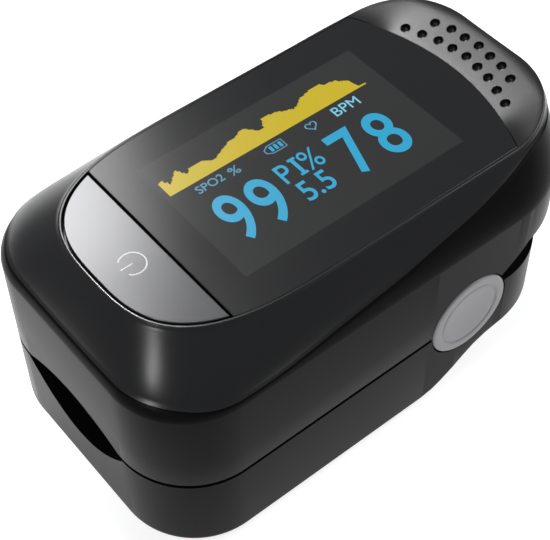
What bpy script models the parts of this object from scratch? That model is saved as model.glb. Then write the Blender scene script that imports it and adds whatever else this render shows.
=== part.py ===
"""Fingertip pulse oximeter: a sprung clamshell of two jaws with an OLED display.

Frame: X across the finger, Y along the finger (the finger enters at the -Y end), Z up.
The origin is at the middle of the flat base. Lengths below are in millimetres.
"""

import math

import bmesh
import bpy
from mathutils import Matrix, Vector

MM = 0.001

# --- overall body --------------------------------------------------------------
HALF_W = 18.0
FRONT_Y = -30.46
REAR_Y = 30.46
FRONT_R = 9.25
REAR_R = 13.4
LEVER_REAR_Y = 26.7
LEVER_REAR_R = 10.3
WALL = 1.5
JAW_Z = 11.5
JAW_GAP = 0.3
LEVER_TOP_Z = 13.75
V_GAP_Z = 17.9
SHOULDER_Z = 23.2
PANEL_Z = 29.25
CAVITY_TOP_Z = 26.9
BASE_ROUND = 1.3

# --- raised grip at the rear ---------------------------------------------------
GRIP_START_Y = 23.55
GRIP_SLOPE = 0.26
GRIP_RISE = 1.3

# --- pivot ---------------------------------------------------------------------
PIVOT_Y = 10.62
PIVOT_Z = 11.92
CAP_R = 5.41
EAR_R = 4.9
INNER_EAR_R = 4.2
PIN_R = 1.25
PIN_CLEAR = 0.05
CAP_FACE_X = 18.15
CAP_T = 0.65
RECESS_R = 5.6
RECESS_X = 17.2

# --- finger opening ------------------------------------------------------------
LENS_HALF_W = 8.86
LENS_UP = 2.2
LENS_DOWN = 4.8
PAD_FRONT_Y = -28.7
PAD_REAR_Y = 2.6

# --- display stack -------------------------------------------------------------
CHORD_Y = -17.95
LENS_T = 1.2
PCB_Z = 23.4
PCB_T = 1.0
SEAM_GAP = 0.2

scene = bpy.context.scene
for old in list(bpy.data.objects):
    bpy.data.objects.remove(old, do_unlink=True)

parts = bpy.data.collections.new("pulse_oximeter")
cutters = bpy.data.collections.new("cutters")
scene.collection.children.link(parts)
scene.collection.children.link(cutters)


# --- small tools ---------------------------------------------------------------
def material(name, rgb, rough, metal=0.0, alpha=1.0):
    """One Principled material."""
    mat = bpy.data.materials.get(name)
    if mat:
        return mat
    mat = bpy.data.materials.new(name)
    mat.use_nodes = True
    shader = mat.node_tree.nodes["Principled BSDF"]
    shader.inputs["Base Color"].default_value = (*rgb, 1.0)
    shader.inputs["Roughness"].default_value = rough
    shader.inputs["Metallic"].default_value = metal
    shader.inputs["Alpha"].default_value = alpha
    return mat


def add_mesh(name, verts, faces, group=None):
    """A mesh object from millimetre vertices."""
    mesh = bpy.data.meshes.new(name)
    mesh.from_pydata([tuple(c * MM for c in v) for v in verts], [], faces)
    mesh.update()
    obj = bpy.data.objects.new(name, mesh)
    (group or parts).objects.link(obj)
    return obj


def hide(obj):
    """Marks a cutter: drawn as wire, never rendered."""
    obj.hide_render = True
    obj.display_type = "WIRE"
    return obj


def prism(name, outline, axis, low, high, group=None):
    """A filled 2D curve pushed along X, Y or Z, turned into a mesh.

    outline holds (y, z) for X, (x, z) for Y and (x, y) for Z.
    """
    curve = bpy.data.curves.new(name + "_outline", "CURVE")
    curve.dimensions = "2D"
    curve.fill_mode = "BOTH"
    curve.extrude = (high - low) / 2 * MM
    line = curve.splines.new("POLY")
    line.points.add(len(outline) - 1)
    for point, (u, v) in zip(line.points, outline):
        point.co = (u * MM, v * MM, 0, 1)
    line.use_cyclic_u = True
    guide = bpy.data.objects.new(name + "_outline", curve)
    scene.collection.objects.link(guide)
    bpy.context.view_layer.update()
    graph = bpy.context.evaluated_depsgraph_get()
    mesh = bpy.data.meshes.new_from_object(guide.evaluated_get(graph))
    bpy.data.objects.remove(guide, do_unlink=True)
    turn = {
        "X": Matrix(((0, 0, 1), (1, 0, 0), (0, 1, 0))),
        "Y": Matrix(((1, 0, 0), (0, 0, -1), (0, 1, 0))),
        "Z": Matrix.Identity(3),
    }[axis]
    middle = (low + high) / 2 * MM
    shift = {"X": (middle, 0, 0), "Y": (0, middle, 0), "Z": (0, 0, middle)}[axis]
    mesh.transform(Matrix.Translation(shift) @ turn.to_4x4())
    obj = bpy.data.objects.new(name, mesh)
    (group or parts).objects.link(obj)
    clean(obj)
    return obj


def clean(obj):
    """Welds the rims of a filled curve and turns every face outward."""
    work = bmesh.new()
    work.from_mesh(obj.data)
    bmesh.ops.remove_doubles(work, verts=work.verts, dist=1e-7)
    bmesh.ops.recalc_face_normals(work, faces=work.faces)
    work.to_mesh(obj.data)
    work.free()
    return obj


def box(name, low, high, bevel=0.0, group=None, segments=2):
    """A box between two corners, edges rounded with a Bevel modifier."""
    bpy.ops.mesh.primitive_cube_add(size=1)
    obj = bpy.context.object
    obj.name = name
    size = [(b - a) * MM for a, b in zip(low, high)]
    obj.data.transform(Matrix.Diagonal((*size, 1)))
    obj.location = [(a + b) / 2 * MM for a, b in zip(low, high)]
    move(obj, group or parts)
    if bevel:
        mod = obj.modifiers.new("edges", "BEVEL")
        mod.width = bevel * MM
        mod.segments = segments
        mod.limit_method = "ANGLE"
    return obj


def cylinder(name, centre, radius, length, axis="Z", sides=32, group=None):
    """A cylinder centred on a point."""
    bpy.ops.mesh.primitive_cylinder_add(vertices=sides, radius=radius * MM, depth=length * MM)
    obj = bpy.context.object
    obj.name = name
    if axis == "X":
        obj.data.transform(Matrix.Rotation(math.pi / 2, 4, "Y"))
    if axis == "Y":
        obj.data.transform(Matrix.Rotation(math.pi / 2, 4, "X"))
    obj.location = [c * MM for c in centre]
    move(obj, group or parts)
    return obj


def turned(name, profile, centre, axis="X", sides=32, group=None):
    """A turned solid: (radius, height) pairs, revolved about the local Z axis."""
    verts = [(r, 0, h) for r, h in profile]
    obj = add_mesh(name, verts, [], group)
    work = bmesh.new()
    work.from_mesh(obj.data)
    work.verts.ensure_lookup_table()
    for i in range(len(profile) - 1):
        work.edges.new((work.verts[i], work.verts[i + 1]))
    work.to_mesh(obj.data)
    work.free()
    screw = obj.modifiers.new("turn", "SCREW")
    screw.axis = "Z"
    screw.steps = sides
    screw.render_steps = sides
    screw.use_merge_vertices = True
    screw.merge_threshold = 0.00001
    obj.location = [c * MM for c in centre]
    if axis == "X":
        obj.rotation_euler = (0, math.pi / 2, 0)
    if axis == "-X":
        obj.rotation_euler = (0, -math.pi / 2, 0)
    return obj


def move(obj, group):
    """Moves an object into one collection."""
    for owner in list(obj.users_collection):
        owner.objects.unlink(obj)
    group.objects.link(obj)


def cut(obj, tool, how="DIFFERENCE"):
    """A Boolean modifier with the exact solver."""
    mod = obj.modifiers.new(tool.name, "BOOLEAN")
    mod.operation = how
    mod.solver = "EXACT"
    mod.object = tool
    return obj


def paint(obj, mat):
    """Gives an object one material."""
    obj.data.materials.clear()
    obj.data.materials.append(mat)
    return obj


def wire(name, points, radius, mat, group=None):
    """A round wire along points, its ends filled."""
    curve = bpy.data.curves.new(name, "CURVE")
    curve.dimensions = "3D"
    curve.bevel_depth = radius * MM
    curve.bevel_resolution = 2
    curve.use_fill_caps = True
    line = curve.splines.new("POLY")
    line.points.add(len(points) - 1)
    for point, co in zip(line.points, points):
        point.co = (*(c * MM for c in co), 1)
    obj = bpy.data.objects.new(name, curve)
    (group or parts).objects.link(obj)
    curve.materials.append(mat)
    return obj


# --- materials -----------------------------------------------------------------
GLOSS_BLACK = material("gloss_black", (0.02, 0.02, 0.022), 0.18)
HOUSING_BLACK = material("housing_black", (0.022, 0.021, 0.023), 0.35)
SMOKED = material("smoked_acrylic", (0.012, 0.012, 0.013), 0.05)
BUTTON_SATIN = material("button_satin", (0.45, 0.45, 0.46), 0.3, 0.6)
CAP_GREY = material("cap_grey", (0.32, 0.31, 0.33), 0.45)
SILICONE = material("silicone_black", (0.03, 0.03, 0.032), 0.6)
STEEL = material("steel", (0.55, 0.55, 0.56), 0.3, 1.0)
BOARD_GREEN = material("board_green", (0.02, 0.12, 0.05), 0.5)
CHIP_BLACK = material("chip_black", (0.015, 0.015, 0.015), 0.5)
OLED_GLASS = material("oled_glass", (0.02, 0.02, 0.025), 0.08)
FOAM = material("foam_black", (0.03, 0.03, 0.03), 0.9)
CELL_SILVER = material("cell_silver", (0.6, 0.6, 0.62), 0.4, 0.7)
CLEAR = material("clear_window", (0.6, 0.1, 0.08), 0.1)
FLEX_AMBER = material("flex_amber", (0.5, 0.22, 0.04), 0.35)
WHITE_PLASTIC = material("white_plastic", (0.75, 0.75, 0.73), 0.45)


# --- plan outlines: half a ring, from the front middle round to the rear middle -
def plan_half(half_w, front_y, front_r, rear_y, rear_r, side):
    """Points down one side of a rounded rectangle, (x, y), x from 0 out and back."""
    points = [(0.0, front_y), ((half_w - front_r) / 2, front_y)]
    for i in range(10):
        a = i / 9 * math.pi / 2
        x = half_w - front_r + front_r * math.sin(a)
        points.append((x, front_y + front_r - front_r * math.cos(a)))
    points += [(half_w, y) for y in side]
    for i in range(12):
        a = i / 11 * math.pi / 2
        x = half_w - rear_r + rear_r * math.cos(a)
        points.append((x, rear_y - rear_r + rear_r * math.sin(a)))
    points += [((half_w - rear_r) / 2, rear_y), (0.0, rear_y)]
    return points


def lengths(points):
    """Running length along points."""
    run = [0.0]
    for a, b in zip(points, points[1:]):
        run.append(run[-1] + math.dist(a, b))
    return run


def along(points, fractions):
    """Points at the given fractions of a polyline's length."""
    run = lengths(points)
    found = []
    for f in fractions:
        want = f * run[-1]
        i = 0
        while i < len(points) - 2 and run[i + 1] < want:
            i += 1
        t = (want - run[i]) / max(run[i + 1] - run[i], 1e-9)
        t = min(max(t, 0.0), 1.0)
        found.append(tuple(a + (b - a) * t for a, b in zip(points[i], points[i + 1])))
    return found


SIDE_Y = (-16.0, -10.5, -5.0, 0.5, 6.0, 11.5)
PANEL_HALF_W = 14.1
PANEL_FRONT_Y = -26.05
PANEL_SPLIT_Y = -5.0
RIM_REAR_Y = 29.1
RIM_R = 9.8


def panel_front(half_w, front_y):
    """The oval's front half: a superellipse from the nose to the widest line."""
    points = []
    for i in range(121):
        a = i / 120 * math.pi / 2
        x = half_w * math.sin(a) ** (2 / 3)
        y = PANEL_SPLIT_Y + (front_y - PANEL_SPLIT_Y) * math.cos(a) ** (2 / 3)
        points.append((x, y))
    return points


def panel_rear(half_w, rear_y, rear_r):
    """The oval's rear half: straight side, then a round corner."""
    points = [(half_w, PANEL_SPLIT_Y)]
    for i in range(61):
        a = i / 60 * math.pi / 2
        x = half_w - rear_r + rear_r * math.cos(a)
        points.append((x, rear_y - rear_r + rear_r * math.sin(a)))
    points.append((0.0, rear_y))
    return points


def matched_panel(outer, inset):
    """The oval's points that face the points of the outer plan."""
    split = next(i for i, (x, y) in enumerate(outer) if abs(y - PANEL_SPLIT_Y) < 1e-6)
    front = lengths(outer[: split + 1])
    rear = lengths(outer[split:])
    ahead = along(
        panel_front(PANEL_HALF_W - inset, PANEL_FRONT_Y + inset),
        [r / front[-1] for r in front],
    )
    behind = along(
        panel_rear(PANEL_HALF_W - inset, RIM_REAR_Y - inset, RIM_R - inset),
        [r / rear[-1] for r in rear],
    )
    return ahead[:-1] + behind


def both_sides(half):
    """A closed ring from the +X half: front middle, +X, rear middle, -X."""
    return half + [(-x, y) for x, y in reversed(half[1:-1])]


def top_z(x, y):
    """Height of the top face: flat panel, then the ramp of the grip."""
    d = y - (GRIP_START_Y - x * x / 55.0)
    if d <= 0:
        return PANEL_Z
    rise = GRIP_SLOPE * d
    if rise > 0.8 * GRIP_RISE:
        over = rise - 0.8 * GRIP_RISE
        rise = 0.8 * GRIP_RISE + 0.2 * GRIP_RISE * (1 - math.exp(-over / (0.2 * GRIP_RISE)))
    return PANEL_Z + rise


def shoulder(steps):
    """(share of the way in, height) up the shoulder, a cubic curve."""
    knots = ((0.0, SHOULDER_Z), (0.02, 24.3), (0.37, 26.3), (1.0, 29.08))
    found = []
    for i in range(steps + 1):
        t = i / steps
        w = ((1 - t) ** 3, 3 * t * (1 - t) ** 2, 3 * t * t * (1 - t), t**3)
        found.append(tuple(sum(a * k[j] for a, k in zip(w, knots)) for j in (0, 1)))
    return found


def skin(name, low_z, inset, ceiling, group=None):
    """The outer skin as one solid, or its hollow when inset and ceiling are given."""
    outer = plan_half(
        HALF_W - inset, FRONT_Y + inset, FRONT_R - inset, REAR_Y - inset, REAR_R - inset, SIDE_Y
    )
    oval = matched_panel(outer, inset * 0.6)
    outer = both_sides(outer)
    oval = both_sides(oval)
    count = len(outer)
    rings = [[(x, y, low_z) for x, y in outer]]
    for share, z in shoulder(7):
        ring = []
        for (ax, ay), (bx, by) in zip(outer, oval):
            rim = top_z(bx, by) - 0.17
            if ceiling:
                rim = ceiling
            rise = (z - SHOULDER_Z) / (29.08 - SHOULDER_Z)
            start = SHOULDER_Z - inset * 0.4
            height = start + (rim - start) * rise
            ring.append((ax + (bx - ax) * share, ay + (by - ay) * share, height))
        rings.append(ring)
    if not ceiling:
        inward = ((0.985, 0.05), (0.965, 0), (0.93, 0), (0.9, 0), (0.865, 0), (0.83, 0), (0.78, 0))
        for scale, drop in inward:
            ring = []
            for x, y in oval:
                x *= scale
                y *= scale
                ring.append((x, y, top_z(x, y) - drop))
            rings.append(ring)
    verts = [v for ring in rings for v in ring]
    faces = []
    for level in range(len(rings) - 1):
        for i in range(count):
            j = (i + 1) % count
            a, b = level * count, (level + 1) * count
            faces.append((a + i, a + j, b + j, b + i))
    faces.append(tuple(reversed(range(count))))
    faces.append(tuple(range((len(rings) - 1) * count, len(rings) * count)))
    return add_mesh(name, verts, faces, group)


def oval_prism(name, inset, low, high, rear=None, front=None, group=None):
    """A plate in the oval's shape; rear and front close it with an arc or a chord."""
    half = panel_front(PANEL_HALF_W - inset, PANEL_FRONT_Y + inset)[::4]
    half += panel_rear(PANEL_HALF_W - inset, RIM_REAR_Y - inset, RIM_R - inset)[1::3]
    if front is not None:
        half = [p for p in half if p[1] > front + 0.4]
        half = [(edge_x(inset, front), front)] + half
    if rear is not None:
        half = [p for p in half if p[1] < grip_line(p[0]) - rear - 0.4]
        last = half[-1][0]
        arc = [last * (1 - i / 8) for i in range(9)]
        half += [(x, grip_line(x) - rear) for x in arc]
    ring = half + [(-x, y) for x, y in reversed(half) if x > 1e-6]
    return prism(name, ring, "Z", low, high, group)


def grip_line(x):
    """Where the flat panel ends and the grip begins."""
    return GRIP_START_Y - x * x / 55.0


def edge_x(inset, y):
    """Half-width of the oval at y."""
    points = panel_front(PANEL_HALF_W - inset, PANEL_FRONT_Y + inset)
    for (ax, ay), (bx, by) in zip(points, points[1:]):
        if ay <= y <= by:
            return ax + (bx - ax) * (y - ay) / max(by - ay, 1e-9)
    return PANEL_HALF_W - inset


# --- cover seam: it runs level round the front and climbs to the rim at the rear -
SEAM = (
    (-33, 24.5), (-28, 24.45), (-24, 24.05), (-19, 23.85), (-14, 24.1), (-9, 24.6), (-4, 25.0),
    (1, 25.4), (6, 26.0), (11, 26.55), (15, 27.2), (18, 27.8), (21, 28.45), (24, 28.9),
    (28, 29.2), (33, 29.35),
)


def below_seam(name, drop, low):
    """Everything under the cover seam, as a YZ outline pushed across X."""
    outline = [(y, z - drop) for y, z in SEAM]
    outline = [(-33, low)] + outline + [(33, low)]
    return hide(prism(name, outline, "X", -22, 22, cutters))


def above_seam(name, lift):
    """Everything over the cover seam."""
    outline = [(y, z + lift) for y, z in SEAM]
    outline = [(-33, 36)] + outline + [(33, 36)]
    return hide(prism(name, outline, "X", -22, 22, cutters))


# --- top cover -----------------------------------------------------------------
cover = paint(skin("top_cover", 20.0, 0.0, None), GLOSS_BLACK)
core_keep = hide(oval_prism("core_keep", 1.2, 18, 34, group=cutters))
under_cover = below_seam("under_cover", -SEAM_GAP / 2, 15)
cut(under_cover, core_keep)
cut(cover, under_cover)
hollow = hide(skin("hollow", 10.0, WALL, CAVITY_TOP_Z, cutters))
cut(cover, hollow)
lens_seat = hide(oval_prism("lens_seat", 0.35, PANEL_Z - LENS_T - 0.1, 33, rear=0.15, group=cutters))
cut(cover, lens_seat)
view_hole = hide(box("view_hole", (-10.2, CHORD_Y + 3.5, 22), (10.2, 16.8, 31), group=cutters))
cut(cover, view_hole)
button_hole = hide(oval_prism("button_hole", 1.7, 22, 31, group=cutters))
chord_side = hide(box("chord_side", (-20, CHORD_Y - 1.0, 20), (20, 40, 33), group=cutters))
cut(button_hole, chord_side)
cut(cover, button_hole)

DIMPLE_R = 0.58
INNER_ROW = [(0.0, 25.2), (2.03, 25.1), (4.06, 24.84), (6.1, 24.24), (8.16, 23.6)]
OUTER_ROW = [(0.0, 27.05), (2.03, 26.95), (4.07, 26.75), (6.13, 26.24)]
pits = []
for row in (INNER_ROW, OUTER_ROW):
    for x, y in row:
        pits.append((x, y))
        if x > 0:
            pits.append((-x, y))
verts = []
faces = []
PIT_SIDES = 10
for x, y in pits:
    z = top_z(x, y)
    start = len(verts)
    for radius, height in ((DIMPLE_R, 0.6), (DIMPLE_R, 0.0), (DIMPLE_R * 0.7, -0.28)):
        for i in range(PIT_SIDES):
            a = i / PIT_SIDES * 2 * math.pi
            verts.append((x + radius * math.cos(a), y + radius * math.sin(a), z + height))
    verts.append((x, y, z - 0.38))
    n = PIT_SIDES
    faces.append(tuple(start + i for i in range(n)))
    for level in (0, 1):
        for i in range(n):
            j = (i + 1) % n
            a = start + level * n
            faces.append((a + j, a + i, a + n + i, a + n + j))
    for i in range(n):
        j = (i + 1) % n
        faces.append((start + 2 * n + j, start + 2 * n + i, start + 3 * n))
pit_tool = clean(hide(add_mesh("pit_tool", verts, faces, cutters)))
cut(cover, pit_tool)

for side in (-1, 1):
    boss = hide(cylinder("cover_boss", (side * 9.2, 22.4, 23.4), 2.0, 7.6, sides=20, group=cutters))
    cut(cover, boss, "UNION")
for side in (-1, 1):
    pilot = hide(cylinder("boss_pilot", (side * 9.2, 22.4, 22.0), 0.95, 7.0, sides=16, group=cutters))
    cut(cover, pilot)

# --- smoked window over the display --------------------------------------------
window = oval_prism(
    "window_lens", 0.5, PANEL_Z - LENS_T, PANEL_Z, rear=0.3, front=CHORD_Y + 0.12
)
paint(window, SMOKED)

# --- power button: the front segment of the oval -------------------------------
button = oval_prism("power_button", 0.5, PANEL_Z - 0.8, PANEL_Z)
button_back = hide(box("button_back", (-20, CHORD_Y - 0.12, 20), (20, 40, 33), group=cutters))
cut(button, button_back)
button_skirt = hide(oval_prism("button_skirt", 2.0, 26.6, PANEL_Z - 0.4, group=cutters))
skirt_back = hide(box("skirt_back", (-20, CHORD_Y - 1.3, 20), (20, 40, 33), group=cutters))
cut(button_skirt, skirt_back)
cut(button, button_skirt, "UNION")
skirt_core = hide(oval_prism("skirt_core", 2.9, 25.0, PANEL_Z - 0.9, group=cutters))
core_back = hide(box("core_back", (-20, CHORD_Y - 2.0, 20), (20, 40, 33), group=cutters))
cut(skirt_core, core_back)
cut(button, skirt_core)
STEM = (0.0, -21.55)
button_stem = hide(cylinder("button_stem", (*STEM, 27.5), 1.2, 2.2, sides=20, group=cutters))
cut(button, button_stem, "UNION")
paint(button, BUTTON_SATIN)

# --- tact switch ---------------------------------------------------------------
switch = paint(box("tact_switch", (-2.2, STEM[1] - 2.2, 24.45), (2.2, STEM[1] + 2.2, 25.4), 0.15), STEEL)
well = hide(cylinder("switch_well", (*STEM, 25.3), 1.1, 1.1, sides=24, group=cutters))
cut(switch, well)
plunger = paint(cylinder("switch_plunger", (*STEM, 25.67), 0.95, 0.9, sides=24), WHITE_PLASTIC)

# --- display and electronics ---------------------------------------------------
display = paint(box("oled_display", (-10.4, -14.3, 25.3), (10.4, 18.2, 26.6), 0.15), OLED_GLASS)
gasket = box("display_gasket", (-11.6, -14.8, 26.68), (11.6, 19.4, 26.86), group=parts)
cut(gasket, hide(box("gasket_hole", (-9.8, -13.7, 25), (9.8, 16.4, 28), group=cutters)))
paint(gasket, FOAM)
carrier = box("display_carrier", (-11.6, -14.9, 24.45), (11.6, 19.4, 26.3), 0.3)
cut(carrier, hide(box("carrier_seat", (-10.6, -14.5, 25.2), (10.6, 18.4, 28), group=cutters)))
cut(carrier, hide(box("carrier_hole", (-8.5, -11.5, 23), (8.5, 15.4, 28), group=cutters)))
paint(carrier, WHITE_PLASTIC)

board_half = [(0, -25.6), (7.5, -25.6), (10.6, -23.6), (12.6, -20.5), (13.4, -16.0), (13.4, 17.6)]
board_half += [(6.6, 18.2), (6.6, 23.0), (0, 23.0)]
board_ring = board_half + [(-x, y) for x, y in reversed(board_half) if x > 0]
board = prism("main_board", board_ring, "Z", PCB_Z, PCB_Z + PCB_T)
paint(board, BOARD_GREEN)
LOW = PCB_Z - 0.05
mcu = box("mcu_chip", (-3.5, -3.5, LOW - 1.2), (3.5, 3.5, LOW), 0.12)
paint(mcu, CHIP_BLACK)
afe = box("front_end_chip", (-9.5, 5.0, LOW - 1.0), (-5.0, 9.5, LOW), 0.1)
paint(afe, CHIP_BLACK)
regulator = box("regulator_chip", (5.6, 6.0, LOW - 1.1), (8.6, 9.0, LOW), 0.1)
paint(regulator, CHIP_BLACK)
buzzer = paint(cylinder("beeper", (0, -11.0, LOW - 1.25), 4.5, 2.5, sides=28), CHIP_BLACK)
cut(buzzer, hide(cylinder("beeper_port", (0, -11.0, LOW - 2.4), 1.0, 1.4, sides=16, group=cutters)))
connector = box("flex_connector", (-4.0, 12.2, LOW - 1.5), (4.0, 15.0, LOW), 0.1)
paint(connector, WHITE_PLASTIC)
usb = box("charge_port", (-15.9, -6.0, LOW - 3.1), (-8.8, 3.0, LOW), 0.5)
cut(usb, hide(box("usb_mouth", (-17, -5.5, LOW - 2.65), (-11.0, 2.5, LOW - 0.45), 0.4, cutters)))
paint(usb, STEEL)

# --- upper housing -------------------------------------------------------------
upper = paint(skin("upper_housing", JAW_Z + JAW_GAP / 2, 0.0, None), HOUSING_BLACK)
over_housing = above_seam("over_housing", -SEAM_GAP / 2)
cut(upper, over_housing)
core_clear = hide(oval_prism("core_clear", 1.0, 19, 34, group=cutters))
cut(upper, core_clear)
lens_clear = hide(oval_prism("lens_clear", 0.25, 27.85, 34, group=cutters))
cut(upper, lens_clear)
FLOOR_Z = 17.3
chamber = skin("chamber", FLOOR_Z, WALL, CAVITY_TOP_Z + 0.1, cutters)
hide(chamber)
rear_fill = hide(box("rear_fill", (-20, 10, 14), (20, 33, 19.4), group=cutters))
cut(chamber, rear_fill)
cut(upper, chamber)

# underside at the rear: the V-shaped squeeze gap
ARC_R = EAR_R + 0.35
V_START = math.radians(33)
squeeze = [(PIVOT_Y + 2.6, 10), (PIVOT_Y + 2.6, 12.6)]
squeeze += [(PIVOT_Y + ARC_R * math.cos(V_START), PIVOT_Z + ARC_R * math.sin(V_START))]
squeeze += [(19.3, V_GAP_Z), (33, V_GAP_Z), (33, 10)]
cut(upper, hide(prism("squeeze_gap", squeeze, "X", -22, 22, cutters)))

# round recesses in both jaws that the pivot caps sit in, nearly flush with the walls
recess = []
for side in (-1, 1):
    middle = side * (RECESS_X + 22) / 2
    tool = cylinder("cap_recess", (middle, PIVOT_Y, PIVOT_Z), RECESS_R, 22 - RECESS_X, "X", 48, cutters)
    recess.append(hide(tool))
    cut(upper, tool)

# hinge bay between the jaws, and round clearances outside for the lower ears
bay = [(PAD_REAR_Y + 2.2, 10), (PAD_REAR_Y + 2.2, 15.7), (16.2, 15.7), (16.2, 10)]
cut(upper, hide(prism("hinge_bay", bay, "X", -14.1, 14.1, cutters)))
for side in (-1, 1):
    outer_clear = cylinder("ear_clear", (side * 17.9, PIVOT_Y, PIVOT_Z), ARC_R, 3.7, "X", 40, cutters)
    cut(upper, hide(outer_clear))
for side in (-1, 1):
    shell_gap = [(4.6, 10), (4.6, 15.0), (16.4, 15.0), (16.4, 10)]
    low, high = sorted((side * 14.1, side * 16.06))
    gap = hide(prism("ear_gap", shell_gap, "X", low, high, cutters))
    cut(upper, gap)
for side in (-1, 1):
    low, high = sorted((side * 14.3, side * 15.9))
    ear = [(PIVOT_Y - 4.2, 16.0)]
    for i in range(13):
        a = math.radians(180 + i * 15)
        ear.append((PIVOT_Y + INNER_EAR_R * math.cos(a), PIVOT_Z + INNER_EAR_R * math.sin(a)))
    ear += [(PIVOT_Y + 4.2, 16.0)]
    cut(upper, hide(prism("inner_ear", ear, "X", low, high, cutters)), "UNION")
for side in (-1, 1):
    bore = cylinder("ear_bore", (side * 15, PIVOT_Y, PIVOT_Z), PIN_R + PIN_CLEAR, 3.0, "X", 32, cutters)
    cut(upper, hide(bore))


def lens_arc(rise, shrink, count=12):
    """The finger opening's edge above (or below) the jaw line, from -X to +X."""
    half = LENS_HALF_W - shrink
    rise = rise - (shrink if rise > 0 else -shrink)
    points = []
    for i in range(count + 1):
        x = -half + 2 * half * i / count
        points.append((x, JAW_Z + rise * (1 - (x / half) ** 2)))
    return points


roof_cut = lens_arc(LENS_UP, -0.2)
roof_cut = [(roof_cut[0][0], 10)] + roof_cut + [(roof_cut[-1][0], 10)]
cut(upper, hide(prism("roof_cut", roof_cut, "Y", -33, PAD_REAR_Y, cutters)))
PAD_HALF = 11.4
upper_pocket = [(-PAD_HALF, 10), (-PAD_HALF, 14.2), (-8.6, 15.1)]
upper_pocket += [(8.6, 15.1), (PAD_HALF, 14.2), (PAD_HALF, 10)]
cut(upper, hide(prism("upper_pocket", upper_pocket, "Y", PAD_FRONT_Y, PAD_REAR_Y + 0.2, cutters)))
eye_hole = hide(box("eye_hole", (-3.2, -16.2, 12), (3.2, -7.8, 20), group=cutters))
cut(upper, eye_hole)
mouth = hide(box("port_mouth", (-19, -6.3, LOW - 3.4), (-14.5, 3.3, LOW + 0.3), 0.4, cutters))
cut(upper, mouth)
cut(cover, mouth)
cable_slot = hide(box("cable_slot", (-3.6, 6.6, 14), (3.6, 8.4, 20), group=cutters))
cut(upper, cable_slot)
for side in (-1, 1):
    hole = cylinder("screw_hole", (side * 9.2, 22.4, 19), 1.25, 6, sides=20, group=cutters)
    cut(upper, hide(hole))
    sink = cylinder("screw_sink", (side * 9.2, 22.4, 17.5), 2.2, 2.2, sides=20, group=cutters)
    cut(upper, hide(sink))
    head = [(0.0, 17.95), (1.9, 17.95), (1.9, 18.55), (0.85, 18.56), (0.85, 23.6), (0.0, 24.2)]
    screw_name = ("housing_screw_l", "housing_screw_r")[side > 0]
    screw = turned(screw_name, head[::-1], (side * 9.2, 22.4, 0), "Z", 16)
    at = side * 9.2
    slot_a = box("slot_a", (at - 1.1, 22.15, 17.5), (at + 1.1, 22.65, 18.25), group=cutters)
    slot_b = box("slot_b", (at - 0.25, 21.3, 17.5), (at + 0.25, 23.5, 18.25), group=cutters)
    cut(screw, hide(slot_a))
    cut(screw, hide(slot_b))
    paint(screw, STEEL)

# --- upper finger pad ----------------------------------------------------------
arch = lens_arc(LENS_UP, 0.0)
pad = [(-PAD_HALF + 0.2, JAW_Z + 0.25)] + [(x, z + 0.25) for x, z in arch]
pad += [(PAD_HALF - 0.2, JAW_Z + 0.25), (PAD_HALF - 0.2, 14.0), (8.5, 14.95)]
pad += [(-8.5, 14.95), (-PAD_HALF + 0.2, 14.0)]
upper_pad = prism("upper_pad", pad, "Y", PAD_FRONT_Y + 0.2, PAD_REAR_Y)
cut(upper_pad, hide(box("upper_eye", (-2.8, -15.2, 12), (2.8, -8.8, 20), group=cutters)))
paint(upper_pad, SILICONE)
emitter_window = paint(box("emitter_window", (-2.6, -15.0, 14.0), (2.6, -9.0, 14.9), 0.3), CLEAR)
emitter = paint(box("led_emitter", (-2.0, -13.6, 15.0), (2.0, -10.4, 16.0), 0.15), WHITE_PLASTIC)
emitter_board = paint(box("emitter_board", (-2.9, -15.8, 16.1), (2.9, -8.2, 16.7)), BOARD_GREEN)

# --- lower housing -------------------------------------------------------------
SCOOP = (
    (-33, 0.0), (4.6, 0.0), (6.2, 0.25), (7.6, 0.85), (9.2, 1.75), (10.8, 2.85), (12.4, 3.8),
    (14.2, 4.45), (16.2, 4.8), (18.6, 5.0), (33, 5.1),
)


def scoop_z(y):
    """Height of the underside: flat base, then scooped up for the thumb."""
    for (ay, az), (by, bz) in zip(SCOOP, SCOOP[1:]):
        if y <= by:
            t = (y - ay) / (by - ay)
            return az + (bz - az) * t
    return SCOOP[-1][1]


def lower_block(name, group=None):
    """The lower jaw's outer block, its bottom edge rounded."""
    side = (-16.0, -8.0, 0.0, 4.6, 6.2, 7.6, 9.2, 10.8, 12.4, 14.2, 15.4)
    rings = []
    r = BASE_ROUND
    for i in range(5):
        a = i / 4 * math.pi / 2
        inset = r - r * math.sin(a)
        lift = r - r * math.cos(a)
        plan = plan_half(
            HALF_W - inset, FRONT_Y + inset, FRONT_R - inset,
            LEVER_REAR_Y - inset, LEVER_REAR_R - inset, side,
        )
        rings.append([(x, y, scoop_z(y) + lift) for x, y in both_sides(plan)])
    plan = plan_half(HALF_W, FRONT_Y, FRONT_R, LEVER_REAR_Y, LEVER_REAR_R, side)
    rings.append([(x, y, 20.0) for x, y in both_sides(plan)])
    half = len(plan)
    count = len(rings[0])
    verts = [v for ring in rings for v in ring]
    faces = []
    for level in range(len(rings) - 1):
        for i in range(count):
            j = (i + 1) % count
            a, b = level * count, (level + 1) * count
            faces.append((a + i, a + j, b + j, b + i))
    flat = 1e-9
    lead = sum(abs(p[1] - plan[0][1]) < flat for p in plan)
    trail = sum(abs(p[1] - plan[-1][1]) < flat for p in plan)
    last = half - 1 - trail
    faces.append(tuple(i % count for i in range(-lead, lead + 1)))
    for i in range(lead, last):
        faces.append((i, count - i, count - i - 1, i + 1))
    faces.append(tuple(range(last, count - last + 1)))
    top = (len(rings) - 1) * count
    faces.append(tuple(range(top, top + count)))
    return add_mesh(name, verts, faces, group)


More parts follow.
